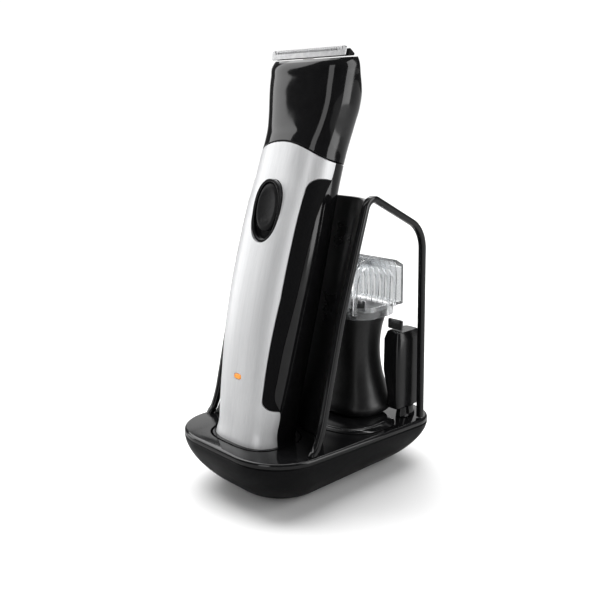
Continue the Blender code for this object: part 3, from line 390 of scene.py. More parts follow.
def ground_steel():
    """Ground stainless steel: scratches that run along the blade."""
    shade = Shade("ground_steel")
    strands = shade.coordinates((0.02, 1.0, 1.0))
    hair = shade.noise(strands, 6000.0, 3.0, 0.7)
    shade.colour(shade.noise(shade.coordinates(), 500.0, 3.0), (0.30, 0.302, 0.307), (0.40, 0.40, 0.404))
    shade.roughness(hair, 0.24, 0.38)
    shade.bump(hair, 0.01 * MM, 0.4)
    shade.constants(Metallic=1.0)
    return shade.material


def contact_metal():
    """Brass of the contact plates and pins, a little tarnished."""
    shade = Shade("contact_brass")
    place = shade.coordinates()
    shade.colour(shade.noise(place, 900.0, 3.0), (0.70, 0.47, 0.17), (0.85, 0.63, 0.28))
    shade.roughness(shade.noise(place, 1500.0, 3.0), 0.18, 0.34)
    shade.bump(shade.noise(place, 2500.0, 2.0), 0.01 * MM, 0.4)
    shade.constants(Metallic=1.0)
    return shade.material


def clear_plastic():
    """Water-clear moulding with faint flow lines and handling haze."""
    shade = Shade("clear_plastic")
    place = shade.coordinates()
    shade.colour(shade.noise(place, 300.0, 2.0), (0.80, 0.82, 0.83), (0.87, 0.88, 0.89))
    shade.roughness(shade.noise(place, 180.0, 4.0), 0.02, 0.07)
    shade.bump(shade.noise(place, 500.0, 2.0), 0.02 * MM, 0.3)
    shade.constants(Transmission_Weight=0.94, IOR=1.46)
    return shade.material


def amber_lens():
    """Charge light: an amber lens with a faint, slightly uneven glow."""
    shade = Shade("amber_lens")
    place = shade.coordinates()
    cloud = shade.noise(place, 900.0, 3.0)
    shade.colour(cloud, (0.80, 0.20, 0.02), (0.98, 0.42, 0.07))
    glow = shade.ramp(cloud, ((0.35, (0.9, 0.22, 0.02)), (0.65, (1.0, 0.5, 0.12))))
    shade.link(glow, shade.shader.inputs["Emission Color"])
    shade.roughness(cloud, 0.1, 0.2)
    shade.bump(shade.noise(place, 3000.0, 2.0), 0.01 * MM, 0.3)
    shade.constants(Emission_Strength=0.25)
    return shade.material


def solder_mask():
    """Circuit board: green mask with copper runs showing through as paler bands."""
    shade = Shade("solder_mask")
    place = shade.coordinates()
    runs = shade.node("ShaderNodeTexVoronoi", distance="MANHATTAN")
    runs.inputs["Scale"].default_value = 420.0
    shade.link(place, runs.inputs["Vector"])
    mask = shade.ramp(runs.outputs["Distance"], ((0.2, (0.03, 0.16, 0.06)), (0.55, (0.07, 0.30, 0.12))))
    shade.link(mask, shade.shader.inputs["Base Color"])
    shade.roughness(shade.noise(place, 800.0, 3.0), 0.25, 0.4)
    shade.bump(runs.outputs["Distance"], 0.03 * MM, 0.4)
    return shade.material


def white_ground():
    """White paper that looks white to the camera, and throws less light back at the object."""
    shade = Shade("pale_ground")
    place = shade.coordinates()
    stops = ((NOISE_LOW, (0.86, 0.86, 0.86)), (NOISE_HIGH, (0.89, 0.89, 0.89)))
    paper = shade.ramp(shade.noise(place, 9.0, 3.0), stops)
    rays = shade.node("ShaderNodeLightPath")
    mix = shade.node("ShaderNodeMix", data_type="RGBA")
    mix.inputs["A"].default_value = (0.42, 0.42, 0.42, 1.0)
    shade.link(rays.outputs["Is Camera Ray"], mix.inputs["Factor"])
    shade.link(paper, mix.inputs["B"])
    shade.link(mix.outputs["Result"], shade.shader.inputs["Base Color"])
    shade.roughness(shade.noise(place, 30.0, 3.0), 0.55, 0.7)
    shade.bump(shade.noise(place, 1200.0, 2.0), 0.02 * MM, 0.2)
    return shade.material


FINISHES = {
    "gloss_black": gloss_plastic("gloss_black", (0.0045, 0.0045, 0.005), (0.0075, 0.0075, 0.008)),
    "satin_black": satin_plastic("satin_black", (0.005, 0.005, 0.0055), (0.008, 0.008, 0.0085)),
    "silver": brushed_silver(),
    "rubber": grip_rubber("soft_rubber", (0.004, 0.004, 0.0045), (0.007, 0.007, 0.0075)),
    "steel": ground_steel(),
    "brass": contact_metal(),
    "amber": amber_lens(),
    "clear": clear_plastic(),
    "nylon": satin_plastic("natural_nylon", (0.55, 0.54, 0.50), (0.68, 0.67, 0.63), 0.4, 0.55, 3000.0, 0.5),
    "board": solder_mask(),
    "cell_wrap": gloss_plastic("cell_sleeve", (0.05, 0.2, 0.13), (0.08, 0.27, 0.18), 0.2, 0.35),
    "switch_pad": grip_rubber("switch_skin", (0.011, 0.011, 0.0115), (0.017, 0.017, 0.0175), 0.24, 0.34),
    "spare_barrel": satin_plastic("barrel_black", (0.010, 0.010, 0.0105), (0.015, 0.015, 0.0155), 0.3, 0.4,
                                  shine=0.4),
    "slim_case": gloss_plastic("case_black", (0.006, 0.006, 0.0065), (0.008, 0.008, 0.0085), 0.16, 0.24,
                               shine=0.3),
    "shield": gloss_plastic("wall_black", (0.005, 0.005, 0.0055), (0.008, 0.008, 0.0085), 0.26, 0.34,
                            shine=0.6),
}
SLOTS = {row["node"]: row["material_slot"] for row in frame["record"]["subparts"]}


# ---------------------------------------------------------------- mesh helpers

def finish_mesh(name, work, slot=None, finish=None):
    """Turn the bmesh into an object. The finish is the slot's own unless another one is named."""
    bmesh.ops.recalc_face_normals(work, faces=work.faces)
    mesh = bpy.data.meshes.new(name)
    work.to_mesh(mesh)
    work.free()
    mesh.shade_smooth()
    mesh.set_sharp_from_angle(angle=SHARP_ANGLE)
    obj = bpy.data.objects.new(name, mesh)
    bpy.context.scene.collection.objects.link(obj)
    if slot is not None:
        mesh.materials.append(FINISHES[finish or slot])
    return obj


def settle(obj, body, *nodes):
    """The piece rides on its body and stands for these CAD nodes."""
    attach(obj, body)
    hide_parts(*nodes)


def bevel(obj, width, segments, angle):
    """Ease the edges sharper than angle, by a width in millimetres."""
    made = obj.modifiers.new("edge", "BEVEL")
    made.width = width * MM
    made.segments = segments
    made.limit_method = "ANGLE"
    made.angle_limit = math.radians(angle)


def boolean(obj, other, operation="DIFFERENCE"):
    """Apply an exact Boolean, then drop the other object."""
    made = obj.modifiers.new("cut", "BOOLEAN")
    made.operation = operation
    made.solver = "EXACT"
    made.object = other
    graph = bpy.context.evaluated_depsgraph_get()
    graph.update()
    mesh = bpy.data.meshes.new_from_object(obj.evaluated_get(graph))
    obj.modifiers.remove(made)
    obj.data = mesh
    bpy.data.objects.remove(other)
    mesh.shade_smooth()
    mesh.set_sharp_from_angle(angle=SHARP_ANGLE)


def smooth_rows(rows, steps):
    """A smooth curve through rows of numbers, whose first number is the one that always grows."""
    slopes = []
    for i, row in enumerate(rows):
        before = rows[max(i - 1, 0)]
        after = rows[min(i + 1, len(rows) - 1)]
        if before is row or after is row:
            slopes.append([(b - a) / (after[0] - before[0]) for a, b in zip(before, after)])
            continue
        low, high = row[0] - before[0], after[0] - row[0]
        slopes.append([((m - a) / low * high + (b - m) / high * low) / (low + high)
                       for a, m, b in zip(before, row, after)])
    made = []
    for (row, after), (s0, s1) in zip(zip(rows, rows[1:]), zip(slopes, slopes[1:])):
        span = after[0] - row[0]
        for step in range(steps):
            t = step / steps
            t2, t3 = t * t, t * t * t
            made.append([
                (2 * t3 - 3 * t2 + 1) * p + (t3 - 2 * t2 + t) * span * m
                + (3 * t2 - 2 * t3) * q + (t3 - t2) * span * n
                for p, q, m, n in zip(row, after, s0, s1)
            ])
    made.append(list(rows[-1]))
    return made


def smooth_route(route, steps):
    """A smooth curve through points, by distance along them."""
    rows, run = [], 0.0
    for i, point in enumerate(route):
        if i:
            run += (Vector(point) - Vector(route[i - 1])).length
        rows.append((run, *point))
    return [Vector(row[1:]) for row in smooth_rows(rows, steps)]


def oval(half_x, front, rear, powers=(FRONT_POWER, REAR_POWER), count=96):
    """Points of an oval with unlike front (-Y) and rear halves, spaced evenly by direction."""
    points = []
    for step in range(count):
        angle = 2.0 * math.pi * step / count
        depth, power = (rear, powers[1]) if math.sin(angle) > 0.0 else (front, powers[0])
        c, s = math.cos(angle), math.sin(angle)
        reach = (abs(c) ** power + abs(s) ** power) ** (-1.0 / power)
        points.append((half_x * reach * c, depth * reach * s))
    return points


def loft(name, rings, slot=None, place=None, finish=None):
    """A closed solid through rings of points in millimetres, lowest ring first."""
    work = bmesh.new()
    rows = [[work.verts.new(Vector(point) * MM) for point in ring] for ring in rings]
    count = len(rings[0])
    for lower, upper in zip(rows, rows[1:]):
        for i in range(count):
            j = (i + 1) % count
            work.faces.new((lower[i], lower[j], upper[j], upper[i]))
    work.faces.new(list(reversed(rows[0])))
    work.faces.new(rows[-1])
    if place is not None:
        bmesh.ops.transform(work, matrix=place, verts=work.verts)
    return finish_mesh(name, work, slot, finish)


def prism(name, outline, axis, low, high, place=None, slot=None):
    """A straight solid over an outline: axis X takes (y, z) points, Y takes (x, z), Z takes (x, y)."""
    def spot(point, along):
        a, b = point
        return {"X": (along, a, b), "Y": (a, along, b), "Z": (a, b, along)}[axis]

    return loft(name, [[spot(point, along) for point in outline] for along in (low, high)], slot, place)


def spare_rings(sections, power, count=72, steps=6):
    """Rings of a squared oval round the spare head's middle."""
    rings = []
    for height, half_x, half_y in smooth_rows(sections, steps):
        outline = oval(half_x, half_y, half_y, (power, power), count)
        rings.append([SPARE_MIDDLE + Vector((x, y, height)) for x, y in outline])
    return rings


def fillet(route, index, radius, steps=10):
    """Points of an arc that rounds the corner of a route at index."""
    before, corner, after = (Vector(route[index + k]) for k in (-1, 0, 1))
    to_before = (before - corner).normalized()
    to_after = (after - corner).normalized()
    half = to_before.angle(to_after) / 2.0
    reach = radius / math.tan(half)
    middle = corner + (to_before + to_after).normalized() * (radius / math.sin(half))
    start = corner + to_before * reach - middle
    end = corner + to_after * reach - middle
    first = math.atan2(start.y, start.x)
    turn = math.remainder(math.atan2(end.y, end.x) - first, 2.0 * math.pi)
    angles = [first + turn * step / steps for step in range(steps + 1)]
    return [middle + Vector((math.cos(angle), math.sin(angle))) * radius for angle in angles]


def carry_over(name):
    """A welded copy of a CAD node's mesh with eased edges, which stands for the node."""
    work = bmesh.new()
    work.from_mesh(NODES[name].data)
    bmesh.ops.remove_doubles(work, verts=work.verts, dist=0.002 * MM)
    bmesh.ops.dissolve_limit(work, angle_limit=math.radians(0.6), verts=work.verts, edges=work.edges)
    obj = finish_mesh(name + "_look", work, SLOTS[name])
    settle(obj, NODES[name]["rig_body"], name)
    return obj


# ---------------------------------------------------------------- stand

def deck_height(y, offset=0.0):
    """Height of the sloping parting line between base and deck, plus an offset."""
    return PARTING_HEIGHT - DECK_SLOPE * y + offset


def base_outline(inset, drop=0.0):
    """The footprint moved inwards by inset, and by the wall's taper at drop (0 top, 1 foot)."""
    share = drop ** BASE_ROLL
    half_x = BASE_HALF_WIDTH - BASE_TAPER * share - inset
    rear_y = BASE_HALF_DEPTH - BASE_TAPER * share - inset
    front_y = inset + (BASE_TAPER + BASE_FRONT_TAPER) * share - BASE_HALF_DEPTH
    shrink = BASE_CORNER_SHARE * BASE_TAPER * share + inset
    front = BASE_FRONT_RADIUS - shrink
    rear = BASE_REAR_RADIUS - shrink
    corners = (
        (half_x - front, front_y + front, front, -90.0),
        (half_x - rear, rear_y - rear, rear, 0.0),
        (rear - half_x, rear_y - rear, rear, 90.0),
        (front - half_x, front_y + front, front, 180.0),
    )
    arc_steps = 20
    points = []
    for centre_x, centre_y, radius, start in corners:
        for step in range(arc_steps + 1):
            angle = math.radians(start + 90.0 * step / arc_steps)
            points.append((centre_x + radius * math.cos(angle), centre_y + radius * math.sin(angle)))
    return points


def base_ring(inset, drop, low):
    """The base wall's outline at drop, between the parting line and the height low."""
    ring = []
    for x, y in base_outline(inset, drop):
        top = deck_height(y)
        ring.append(Vector((x, y, top + (low - top) * drop)))
    return ring


def parting_ring(inset, offset):
    """The footprint's outline at an offset above the sloping parting line."""
    return [Vector((x, y, deck_height(y, offset))) for x, y in base_outline(inset)]


def build_base():
    """Tapered wall under the deck, with its foot rolled under and a fine lip at the parting line."""
    levels = 26
    drops = [1.0 - step / levels for step in range(levels + 1)]
    rings = [base_ring(1.2, 1.0, BASE_BOTTOM)]
    rings += [base_ring(0.0, drop, BASE_BOTTOM + 0.5 * drop ** 8) for drop in drops[:-1]]
    rings += [parting_ring(0.0, -0.45), parting_ring(0.3, -0.15), parting_ring(0.45, 0.0)]
    shell = loft("base_wall", rings, "satin_black")
    hollow = [base_ring(BASE_WALL, drop, BASE_BOTTOM) for drop in drops]
    hollow.insert(0, [point - Vector((0.0, 0.0, 2.0)) for point in hollow[0]])
    hollow.append([point + Vector((0.0, 0.0, 2.0)) for point in hollow[-1]])
    boolean(shell, loft("base_hollow", hollow))
    mouth = [(x * INLET_HALF_WIDTH, INLET_HEIGHT + z * INLET_HALF_HEIGHT)
             for x, z in ((-1.0, -1.0), (1.0, -1.0), (1.0, 1.0), (-1.0, 1.0))]
    boolean(shell, prism("socket_hole", mouth, "Y", 40.0, 56.0))
    settle(shell, "stand", "base_shell")


def cup_rings(lowest, top):
    """The room that the foot cup takes around the handle's foot, in the handle's frame."""
    foot = HANDLE_SECTIONS[:3]
    rings = []
    for height, section in ((lowest, foot[0]), (1.0, foot[1]), (6.0, foot[2]), (top, foot[2])):
        outline = oval(*(value + CUP_ROOM for value in section[1:]))
        rings.append([Vector((x, y, height)) for x, y in outline])
    return rings


def build_deck():
    """Gloss deck with a rounded rim and an opening for the foot cup."""
    rounds = 7
    rings = [parting_ring(0.5, 0.25), parting_ring(0.12, 0.3), parting_ring(0.0, 0.55)]
    for step in range(rounds + 1):
        angle = math.radians(90.0 * step / rounds)
        inset, drop = DECK_RIM * (1.0 - math.cos(angle)), DECK_RIM * (1.0 - math.sin(angle))
        rings.append(parting_ring(inset, DECK_THICKNESS - drop))
    deck = loft("deck_plate", rings, "gloss_black")
    boolean(deck, loft("deck_opening", cup_rings(-12.0, 30.0), None, HANDLE))
    bevel(deck, 0.35, 2, 50.0)
    settle(deck, "stand", "deck")


def wing_edge_y(route, z):
    """Depth of the wing's edge at a height."""
    if z <= route[0].y:
        return route[0].x
    for low, high in zip(route, route[1:]):
        if z <= high.y:
            return low.x + (high.x - low.x) * (z - low.y) / (high.y - low.y)
    return route[-1].x


def profile_share(rows, x):
    """How far the shield has come from its trough to its wing's edge, at a distance from the middle."""
    x = min(abs(x), rows[-1][0])
    for (x0, s0), (x1, s1) in zip(rows, rows[1:]):
        if x <= x1:
            return s0 + (s1 - s0) * (x - x0) / (x1 - x0)
    return 1.0


def build_shield():
    """The concave wall behind the handle: one smooth sheet with thickness and rounded edges."""
    route = smooth_route([*LEG_ROUTE, LOOP_FRONT_CORNER], 8)
    profile = smooth_rows(SHIELD_PROFILE, 8)
    foot = deck_height(-20.0, DECK_THICKNESS + 0.5)
    columns, levels = 72, 44
    work = bmesh.new()
    grid = []
    for level in range(levels + 1):
        up = (level / levels) ** 1.35
        z = foot + (SHIELD_TOP - foot) * up
        rise = (z - handle_foot.z / MM) * math.tan(LEAN)
        trough = handle_foot.y / MM + rise + SHIELD_TROUGH / math.cos(LEAN)
        edge = wing_edge_y(route, z) + LOOP_DEPTH / 2.0 - 0.2
        row = []
        for column in range(columns + 1):
            x = SHIELD_HALF_WIDTH * (2.0 * column / columns - 1.0)
            y = trough + (edge - trough) * profile_share(profile, x)
            lowest = deck_height(y, DECK_THICKNESS + 0.1)
            row.append(work.verts.new(Vector((x, y, max(z, lowest) if level else lowest)) * MM))
        grid.append(row)
    for row, above in zip(grid, grid[1:]):
        for i in range(columns):
            work.faces.new((row[i], row[i + 1], above[i + 1], above[i]))
    shield = finish_mesh("shield_wall", work, "gloss_black", "shield")
    wall = shield.modifiers.new("wall", "SOLIDIFY")
    wall.thickness = SHIELD_THICKNESS * MM
    wall.offset = -1.0
    bevel(shield, 0.5, 4, 60.0)
    settle(shield, "stand", "cradle_shield")


def loop_route():
    """A loop's middle line, seen from the side: up the leg, over the top and down the column."""
    corners = [*LEG_ROUTE, LOOP_FRONT_CORNER, LOOP_REAR_CORNER, LOOP_COLUMN_FOOT]
    first = len(LEG_ROUTE)
    leg = smooth_route(LEG_ROUTE, 5)
    front = fillet(corners, first, LOOP_FRONT_RADIUS, 14)
    rear = fillet(corners, first + 1, LOOP_REAR_RADIUS, 18)
    return leg + front + rear + [Vector(corners[-1])]


def build_loops():
    """Carrying loops: a flat bar with rounded edges that starts in the deck and ends in it."""
    route = loop_route()
    arc_steps = 4
    for side, name in SIDES:
        rings = []
        for index, point in enumerate(route):
            before = route[max(index - 1, 0)]
            after = route[min(index + 1, len(route) - 1)]
            along = (after - before).normalized()
            out = Vector((-along.y, along.x))
            if index in (0, len(route) - 1):
                out = Vector((math.copysign(1.0, out.x), 0.0))
            ring = []
            for quarter, (sx, sy) in enumerate(((1, 1), (-1, 1), (-1, -1), (1, -1))):
                for step in range(arc_steps + 1):
                    angle = math.radians(90.0 * (quarter + step / arc_steps))
                    across = sx * (LOOP_WIDTH / 2.0 - LOOP_CORNER) + LOOP_CORNER * math.cos(angle)
                    depth = sy * (LOOP_DEPTH / 2.0 - LOOP_CORNER) + LOOP_CORNER * math.sin(angle)
                    shift = out * depth
                    ring.append(Vector((side * LOOP_MIDDLE + across, point.x + shift.x, point.y + shift.y)))
            rings.append(ring)
        loop = loft("loop_bar_" + name, rings, "gloss_black")
        settle(loop, "stand", "loop_" + name)


# ---------------------------------------------------------------- handle

def handle_rings(grow, first=0):
    """Rings of the handle's outer form, grown by grow, with the front edge arched up at the top."""
    rings = []
    for height, half_x, front, rear in smooth_rows(HANDLE_SECTIONS[first:], 5):
        share = max(0.0, (height - ARCH_START) / (HANDLE_SECTIONS[-1][0] - ARCH_START))
        ring = []
        for x, y in oval(half_x + grow, front + grow, rear + grow):
            lift = COLLAR_ARCH * (1.0 - (x / (half_x + grow)) ** 2) if y < 0.0 else 0.0
            ring.append(Vector((x, y, height + lift * share)))
        rings.append(ring)
    return rings


def hollow_rings():
    """The room inside the shells, open at the top."""
    rings = handle_rings(-SHELL_WALL, first=1)
    rings[0] = [Vector((p.x, p.y, SHELL_WALL)) for p in rings[0]]
    rings.append([point + Vector((0.0, 0.0, 12.0)) for point in rings[-1]])
    return rings


def parting(name, rear, back):
    """Everything in front of the parting line, or behind it, with the line moved back."""
    far = 60.0 if rear else -60.0
    line = [(point.x + back, point.y) for point in smooth_route(PART_ROUTE, 4)]
    outline = [(far, line[0][1]), *line, (far, line[-1][1])]
    return prism(name, outline, "X", -60.0, 60.0, HANDLE)


def grip_prism(name, side, grow):
    """A bar, front to back, with the outline of one grip seen from the front."""
    edge = [(x - grow, z) for x, z in GRIP_EDGE]
    edge[0] = (edge[0][0], edge[0][1] - grow)
    edge[-1] = (edge[-1][0], edge[-1][1] + grow)
    corners = [(30.0, edge[0][1]), *edge, (30.0, edge[-1][1])]
    outline = [Vector(corners[0])]
    outline += fillet(corners, 1, 0.6 * GRIP_CORNER)
    outline += smooth_route(edge[1:-1], 4)
    outline += fillet(corners, len(edge), GRIP_CORNER)
    outline.append(Vector(corners[-1]))
    return prism(name, [(side * p.x, p.y) for p in outline], "Y", -30.0, 5.0, HANDLE)


def front_surface(height):
    """Local Y of the handle's front at a height."""
    rows = smooth_rows(HANDLE_SECTIONS, 5)
    for low, high in zip(rows, rows[1:]):
        if height <= high[0]:
            return -(low[2] + (high[2] - low[2]) * (height - low[0]) / (high[0] - low[0]))
    return -rows[-1][2]


def face_oval(half_x, half_z, height, out, inner, power=SWITCH_POWER, count=56):
    """Rings of a flat-backed oval on the handle's front: out and inner are depths from the surface."""
    surface = front_surface(height)
    outline = oval(half_x, half_z, half_z, (power, power), count)
    return [[Vector((x, surface + depth, height + z)) for x, z in outline] for depth in (inner, out)]


def build_shells():
    """Silver front shell with recesses for grips, switch and light, and the gloss rear shell."""
    front = loft("handle_front", handle_rings(0.0), "silver", HANDLE)
    boolean(front, loft("hollow", hollow_rings(), None, HANDLE))
    boolean(front, parting("front_half", False, 0.0), "INTERSECT")
    for side, _ in SIDES:
        boolean(front, grip_prism("recess", side, 0.22))
    switch_rings = face_oval(*SWITCH_HOLE, SWITCH_HEIGHT, -6.0, 9.0)
    boolean(front, loft("switch_hole", switch_rings, None, HANDLE))
    light_rings = face_oval(*LIGHT_HOLE, LIGHT_HEIGHT, -6.0, 6.0, LIGHT_POWER, 32)
    boolean(front, loft("light_hole", light_rings, None, HANDLE))
    bevel(front, 0.18, 2, 45.0)
    settle(front, "handle", "front_shell")

    rear = loft("handle_rear", handle_rings(0.0), "gloss_black", HANDLE)
    boolean(rear, loft("hollow", hollow_rings(), None, HANDLE))
    boolean(rear, parting("rear_half", True, 0.2), "INTERSECT")
    for side, _ in SIDES:
        outline = [(side * CHARGE_PLATE_SIDE + x, CHARGE_PLATE_BACK + y)
                   for x, y in oval(*(CHARGE_PLATE_BORE,) * 3, (2.0, 2.0), 28)]
        boolean(rear, prism("plate_bore", outline, "Z", -3.0, 6.0, HANDLE))
    bevel(rear, 0.18, 2, 45.0)
    settle(rear, "handle", "rear_shell")


def build_grips():
    """Soft grips let into both sides of the front shell."""
    for side, name in SIDES:
        grip = loft("grip_pad_" + name, handle_rings(0.06), "rubber", HANDLE)
        boolean(grip, loft("core", handle_rings(-GRIP_DEPTH, first=1), None, HANDLE))
        boolean(grip, grip_prism("keep", side, 0.0), "INTERSECT")
        boolean(grip, parting("grip_front", False, -0.05), "INTERSECT")
        bevel(grip, 0.3, 3, 45.0)
        settle(grip, "handle", "grip_" + name)


def build_switch():
    """A gloss ring set in the front shell, and the dished pad that slides in it."""
    bezel = loft("switch_ring", face_oval(7.7, 12.6, SWITCH_HEIGHT, -0.15, 3.6), "gloss_black", HANDLE)
    boolean(bezel, loft("pocket", face_oval(6.5, 11.4, SWITCH_HEIGHT, -4.0, 1.7), None, HANDLE))
    surface = front_surface(SWITCH_HEIGHT)
    slot = [(x, surface + 3.0 + y) for x, y in oval(1.8, 4.0, 4.0, (6.0, 6.0), 24)]
    boolean(bezel, prism("stem_slot", slot, "Z", SWITCH_HEIGHT - 4.8, SWITCH_HEIGHT + 3.8, HANDLE))
    bevel(bezel, 0.45, 4, 45.0)
    settle(bezel, "handle", "switch_bezel")

    middle = SWITCH_HEIGHT + 1.4
    half_x, half_z = 5.8, 9.2
    ring_count, count = 14, 56
    outline = oval(1.0, 1.0, 1.0, (SWITCH_POWER, SWITCH_POWER), count)
    work = bmesh.new()

    def face_depth(share, z):
        """The pad's face: a rolled rim, a shallow dish and a faint ridge across its lower part."""
        rim = 0.55 * max(0.0, (share - 0.82) / 0.18) ** 2
        dish = 0.5 * (1.0 - share * share)
        ridge = -0.55 * math.exp(-((z + 0.62) / 0.045) ** 2) * (1.0 if share < 0.7 else 0.0)
        return -0.3 + rim + dish + ridge * max(0.0, 1.0 - share)

    centre = work.verts.new((0.0, surface + face_depth(0.0, 0.0), middle))
    rows = []
    for ring in range(1, ring_count + 1):
        share = ring / ring_count
        rows.append([work.verts.new((half_x * share * x, surface + face_depth(share, z * share),
                                     middle + half_z * share * z)) for x, z in outline])
    back = [work.verts.new((half_x * x, surface + 1.3, middle + half_z * z)) for x, z in outline]
    for i in range(count):
        j = (i + 1) % count
        work.faces.new((centre, rows[0][i], rows[0][j]))
        for inner, outer in zip(rows, rows[1:]):
            work.faces.new((inner[i], outer[i], outer[j], inner[j]))
        work.faces.new((rows[-1][i], back[i], back[j], rows[-1][j]))
    work.faces.new(list(reversed(back)))
    bmesh.ops.scale(work, vec=Vector((MM, MM, MM)), verts=work.verts)
    bmesh.ops.transform(work, matrix=HANDLE, verts=work.verts)
    pad = finish_mesh("switch_button", work, "rubber", "switch_pad")
    settle(pad, "power_switch", "switch_pad")


def build_light():
    """The charge light's lens, set flush in the front shell."""
    rings = face_oval(2.0, 1.0, LIGHT_HEIGHT, -0.12, 2.4, LIGHT_POWER, 32)
    lens = loft("light_lens", rings, "amber", HANDLE)
    bevel(lens, 0.3, 3, 45.0)
    settle(lens, "handle", "charge_light")


def build_head():
    """The cutting head: one gloss housing whose top slopes to the blade."""
    rings = []
    for height, half_x, front, rear, rise, share in smooth_rows(HEAD_SECTIONS, 6):
        ring = []
        for x, y in oval(half_x, front, rear):
            lift = COLLAR_ARCH * share * (1.0 - (x / half_x) ** 2) if y < 0.0 else 0.0
            ring.append(Vector((x, y, height + rise * y + lift)))
        rings.append(ring)
    housing = loft("head_shell", rings, "gloss_black", HANDLE)
    inner = [[Vector((x, y, height)) for x, y in oval(half_x, front, rear, (2.6, 2.6), 64)]
             for height, half_x, front, rear in HEAD_HOLLOW]
    boolean(housing, loft("head_hollow", inner, None, HANDLE))
    bevel(housing, 0.4, 3, 40.0)
    settle(housing, "head", "head_housing")


def build_blade(name, half_width, low, root, high, thickness, pitch, place, body, node):
    """A blade: a strip in the local X-Z plane with tapered, round-ended teeth between plain end tabs."""
    tab = 1.4
    end = half_width - tab
    teeth = int(2.0 * end / pitch)
    start = -teeth * pitch / 2.0
    outline = [
        (-half_width, low + 0.4), (0.4 - half_width, low), (half_width - 0.4, low), (half_width, low + 0.4),
        (half_width, high - 0.6), (half_width - 0.25, high - 0.15), (half_width - 0.6, high), (end, high),
    ]
    for index in reversed(range(teeth)):
        left = start + index * pitch
        for share, height in ((0.76, root + 0.1), (0.70, root), (0.60, high - 0.12), (0.55, high),
                              (0.45, high), (0.40, high - 0.12), (0.30, root), (0.24, root + 0.1)):
            outline.append((left + pitch * share, height))
    outline += [
        (-end, high), (0.6 - half_width, high), (0.25 - half_width, high - 0.15), (-half_width, high - 0.6),
    ]
    blade = prism(name, outline, "Y", -thickness / 2.0, thickness / 2.0, place, "steel")
    blade.data.shade_flat()
    bevel(blade, 0.06, 1, 50.0)
    settle(blade, body, node)


def build_blades():
    """The three pairs of guard and moving blade, each with its sizes in millimetres."""
    def leaning(depth):
        return HANDLE @ Matrix.Translation((0.0, depth * MM, 0.0))

    def upright(middle, depth):
        return Matrix.Translation((middle + Vector((0.0, depth, 0.0))) * MM)

    low = BLADE_BOTTOM
    build_blade("guard_comb", 20.5, low, low + 2.0, low + 3.7, 0.7, 1.0,
                leaning(GUARD_DEPTH), "head", "guard_blade")
    build_blade("sliding_cutter", 17.5, low + 0.4, low + 1.8, low + 3.4, 0.7, 1.0,
                leaning(CUTTER_DEPTH), "cutter", "moving_blade")
    build_blade("spare_guard_comb", 13.6, 70.9, 74.0, 75.8, 0.8, 1.4,
                upright(SPARE_MIDDLE, -6.6), "spare_head", "spare_guard_blade")
    build_blade("spare_sliding_cutter", 11.6, 71.2, 73.8, 75.4, 0.8, 1.4,
                upright(SPARE_MIDDLE, -5.4), "spare_cutter", "spare_moving_blade")
    build_blade("precision_guard_comb", 3.9, 61.9, 64.8, 66.4, 0.8, 1.0,
                upright(PRECISION_BLADE, 0.0), "precision_trimmer", "precision_guard_blade")
    build_blade("precision_sliding_cutter", 2.7, 62.2, 64.6, 66.0, 0.8, 1.0,
                upright(PRECISION_BLADE, 1.2), "precision_cutter", "precision_moving_blade")


# ---------------------------------------------------------------- stored attachments

def build_spare_head():
    """The satin barrel of the spare head, waisted like a bottle."""
    housing = loft("spare_head_shell", spare_rings(SPARE_SECTIONS, 2.8), "satin_black", finish="spare_barrel")
    boolean(housing, loft("spare_hollow", spare_rings(SPARE_HOLLOW, 2.6, 48, 3)))
    bevel(housing, 0.5, 3, 40.0)
    settle(housing, "spare_head", "spare_head_housing")


def build_comb():
    """Clear comb: a skirt that grips the head, arched teeth over the blade and a full-width back wall."""
    comb = loft("guide_comb_clear", spare_rings(COMB_SKIRT, 3.2, steps=4), "clear")
    boolean(comb, loft("comb_core", spare_rings(COMB_CORE, 3.2, steps=1)))
    outline = [(point.x, point.y) for point in smooth_route(TOOTH_OUTSIDE, 3) + smooth_route(TOOTH_INSIDE, 3)]
    place = Matrix.Translation(SPARE_MIDDLE * MM)
    for index in range(-COMB_TEETH_A_SIDE, COMB_TEETH_A_SIDE + 1):
        middle = index * COMB_PITCH
        tooth = prism("comb_tooth", outline, "X", middle - COMB_TOOTH_HALF, middle + COMB_TOOTH_HALF, place)
        boolean(comb, tooth, "UNION")
    boolean(comb, prism("comb_back", COMB_BACK, "X", -COMB_HALF_WIDTH, COMB_HALF_WIDTH, place), "UNION")
    bevel(comb, 0.16, 2, 50.0)
    settle(comb, "comb", "guide_comb")


def precision_rings(sections, power, count):
    """Rings of a squared oval round the second attachment's middle, which leans as it rises."""
    rings = []
    for height, lean, half_x, half_y in sections:
        outline = oval(half_x, half_y, half_y, (power, power), count)
        rings.append([PRECISION_MIDDLE + Vector((lean + x, y, height)) for x, y in outline])
    return rings


def build_precision():
    """The slim second attachment: a narrow foot that widens into a flat-sided case with a bevelled top."""
    rings = precision_rings(PRECISION_SECTIONS, 6.0, 96)
    housing = loft("precision_shell", rings, "satin_black", finish="slim_case")
    boolean(housing, loft("precision_hollow", precision_rings(PRECISION_HOLLOW, 4.0, 48)))
    bevel(housing, 0.6, 4, 25.0)
    settle(housing, "precision_trimmer", "precision_housing")


def finish_nodes():
    """Ease the edges of the nodes whose shape is right, and give every CAD node its finish."""
    for name, width in EASED_NODES.items():
        bevel(carry_over(name), width, 3, 40.0)
    for name, node in NODES.items():
        for material_slot in node.material_slots:
            material_slot.material = FINISHES[SLOTS[name]]


# ---------------------------------------------------------------- stage

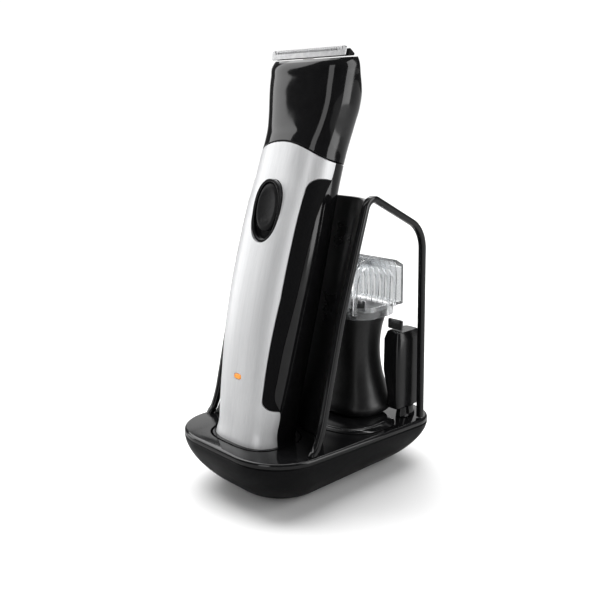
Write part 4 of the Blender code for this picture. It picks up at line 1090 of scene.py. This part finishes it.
def build_camera():
    data = bpy.data.cameras.new("camera")
    data.lens = CAMERA_LENS
    data.sensor_width = SENSOR_WIDTH
    data.clip_start = 0.01
    data.clip_end = 50.0
    camera = bpy.data.objects.new("camera", data)
    bpy.context.scene.collection.objects.link(camera)
    turn, pitch = math.radians(CAMERA_TURN), math.radians(CAMERA_PITCH)
    forward = Vector((-math.sin(turn), math.cos(turn), 0.0))
    right = Vector((math.cos(turn), math.sin(turn), 0.0))
    place = right * CAMERA_SIDE - forward * CAMERA_DISTANCE + Vector((0.0, CAMERA_AIM_Y, CAMERA_HEIGHT))
    look = forward * math.cos(pitch) - Vector((0.0, 0.0, math.sin(pitch)))
    camera.location = place * MM
    camera.rotation_euler = look.to_track_quat("-Z", "Y").to_euler()
    bpy.context.scene.camera = camera


def add_light(name, data, direction, place=(0.0, 0.0, 0.0)):
    light = bpy.data.objects.new(name, data)
    bpy.context.scene.collection.objects.link(light)
    light.location = place
    light.rotation_euler = direction.to_track_quat("-Z", "Y").to_euler()


def build_lights():
    """A very wide sun from above, and softboxes whose reflections draw the black surfaces. As lights
    always start, they are hidden from the camera itself."""
    data = bpy.data.lights.new("sky_panel", "SUN")
    data.energy = SUN_STRENGTH
    data.angle = math.radians(SUN_WIDTH)
    add_light("sky_panel", data, SUN_DIRECTION)
    for name, place, size, power in SOFTBOXES:
        data = bpy.data.lights.new(name, "AREA")
        data.shape = "RECTANGLE"
        data.size, data.size_y = size
        data.energy = power
        add_light(name, data, LIGHT_AIM - Vector(place), place)


def build_ground():
    work = bmesh.new()
    bmesh.ops.create_grid(work, x_segments=1, y_segments=1, size=GROUND_SIZE)
    ground = finish_mesh("ground", work)
    ground.data.materials.append(white_ground())


def build_world():
    """White behind the object and through clear plastic, but nearly no light from all round."""
    world = bpy.data.worlds.new("studio")
    bpy.context.scene.world = world
    world.use_nodes = True
    nodes, links = world.node_tree.nodes, world.node_tree.links
    nodes["Background"].inputs["Color"].default_value = WHITE
    nodes["Background"].inputs["Strength"].default_value = BACKDROP_STRENGTH
    dim = nodes.new("ShaderNodeBackground")
    dim.inputs["Color"].default_value = WHITE
    dim.inputs["Strength"].default_value = AMBIENT_STRENGTH
    rays = nodes.new("ShaderNodeLightPath")
    seen = nodes.new("ShaderNodeMath")
    seen.operation = "MAXIMUM"
    links.new(rays.outputs["Is Camera Ray"], seen.inputs[0])
    links.new(rays.outputs["Is Transmission Ray"], seen.inputs[1])
    mix = nodes.new("ShaderNodeMixShader")
    links.new(seen.outputs["Value"], mix.inputs["Fac"])
    links.new(dim.outputs["Background"], mix.inputs[1])
    links.new(nodes["Background"].outputs["Background"], mix.inputs[2])
    links.new(mix.outputs["Shader"], nodes["World Output"].inputs["Surface"])


build_camera()
build_ground()
build_world()
build_lights()
bpy.context.scene.view_settings.view_transform = "Standard"
build_base()
build_deck()
build_shield()
build_loops()
build_shells()
build_grips()
build_switch()
build_light()
build_head()
build_blades()
build_spare_head()
build_comb()
build_precision()
finish_nodes()
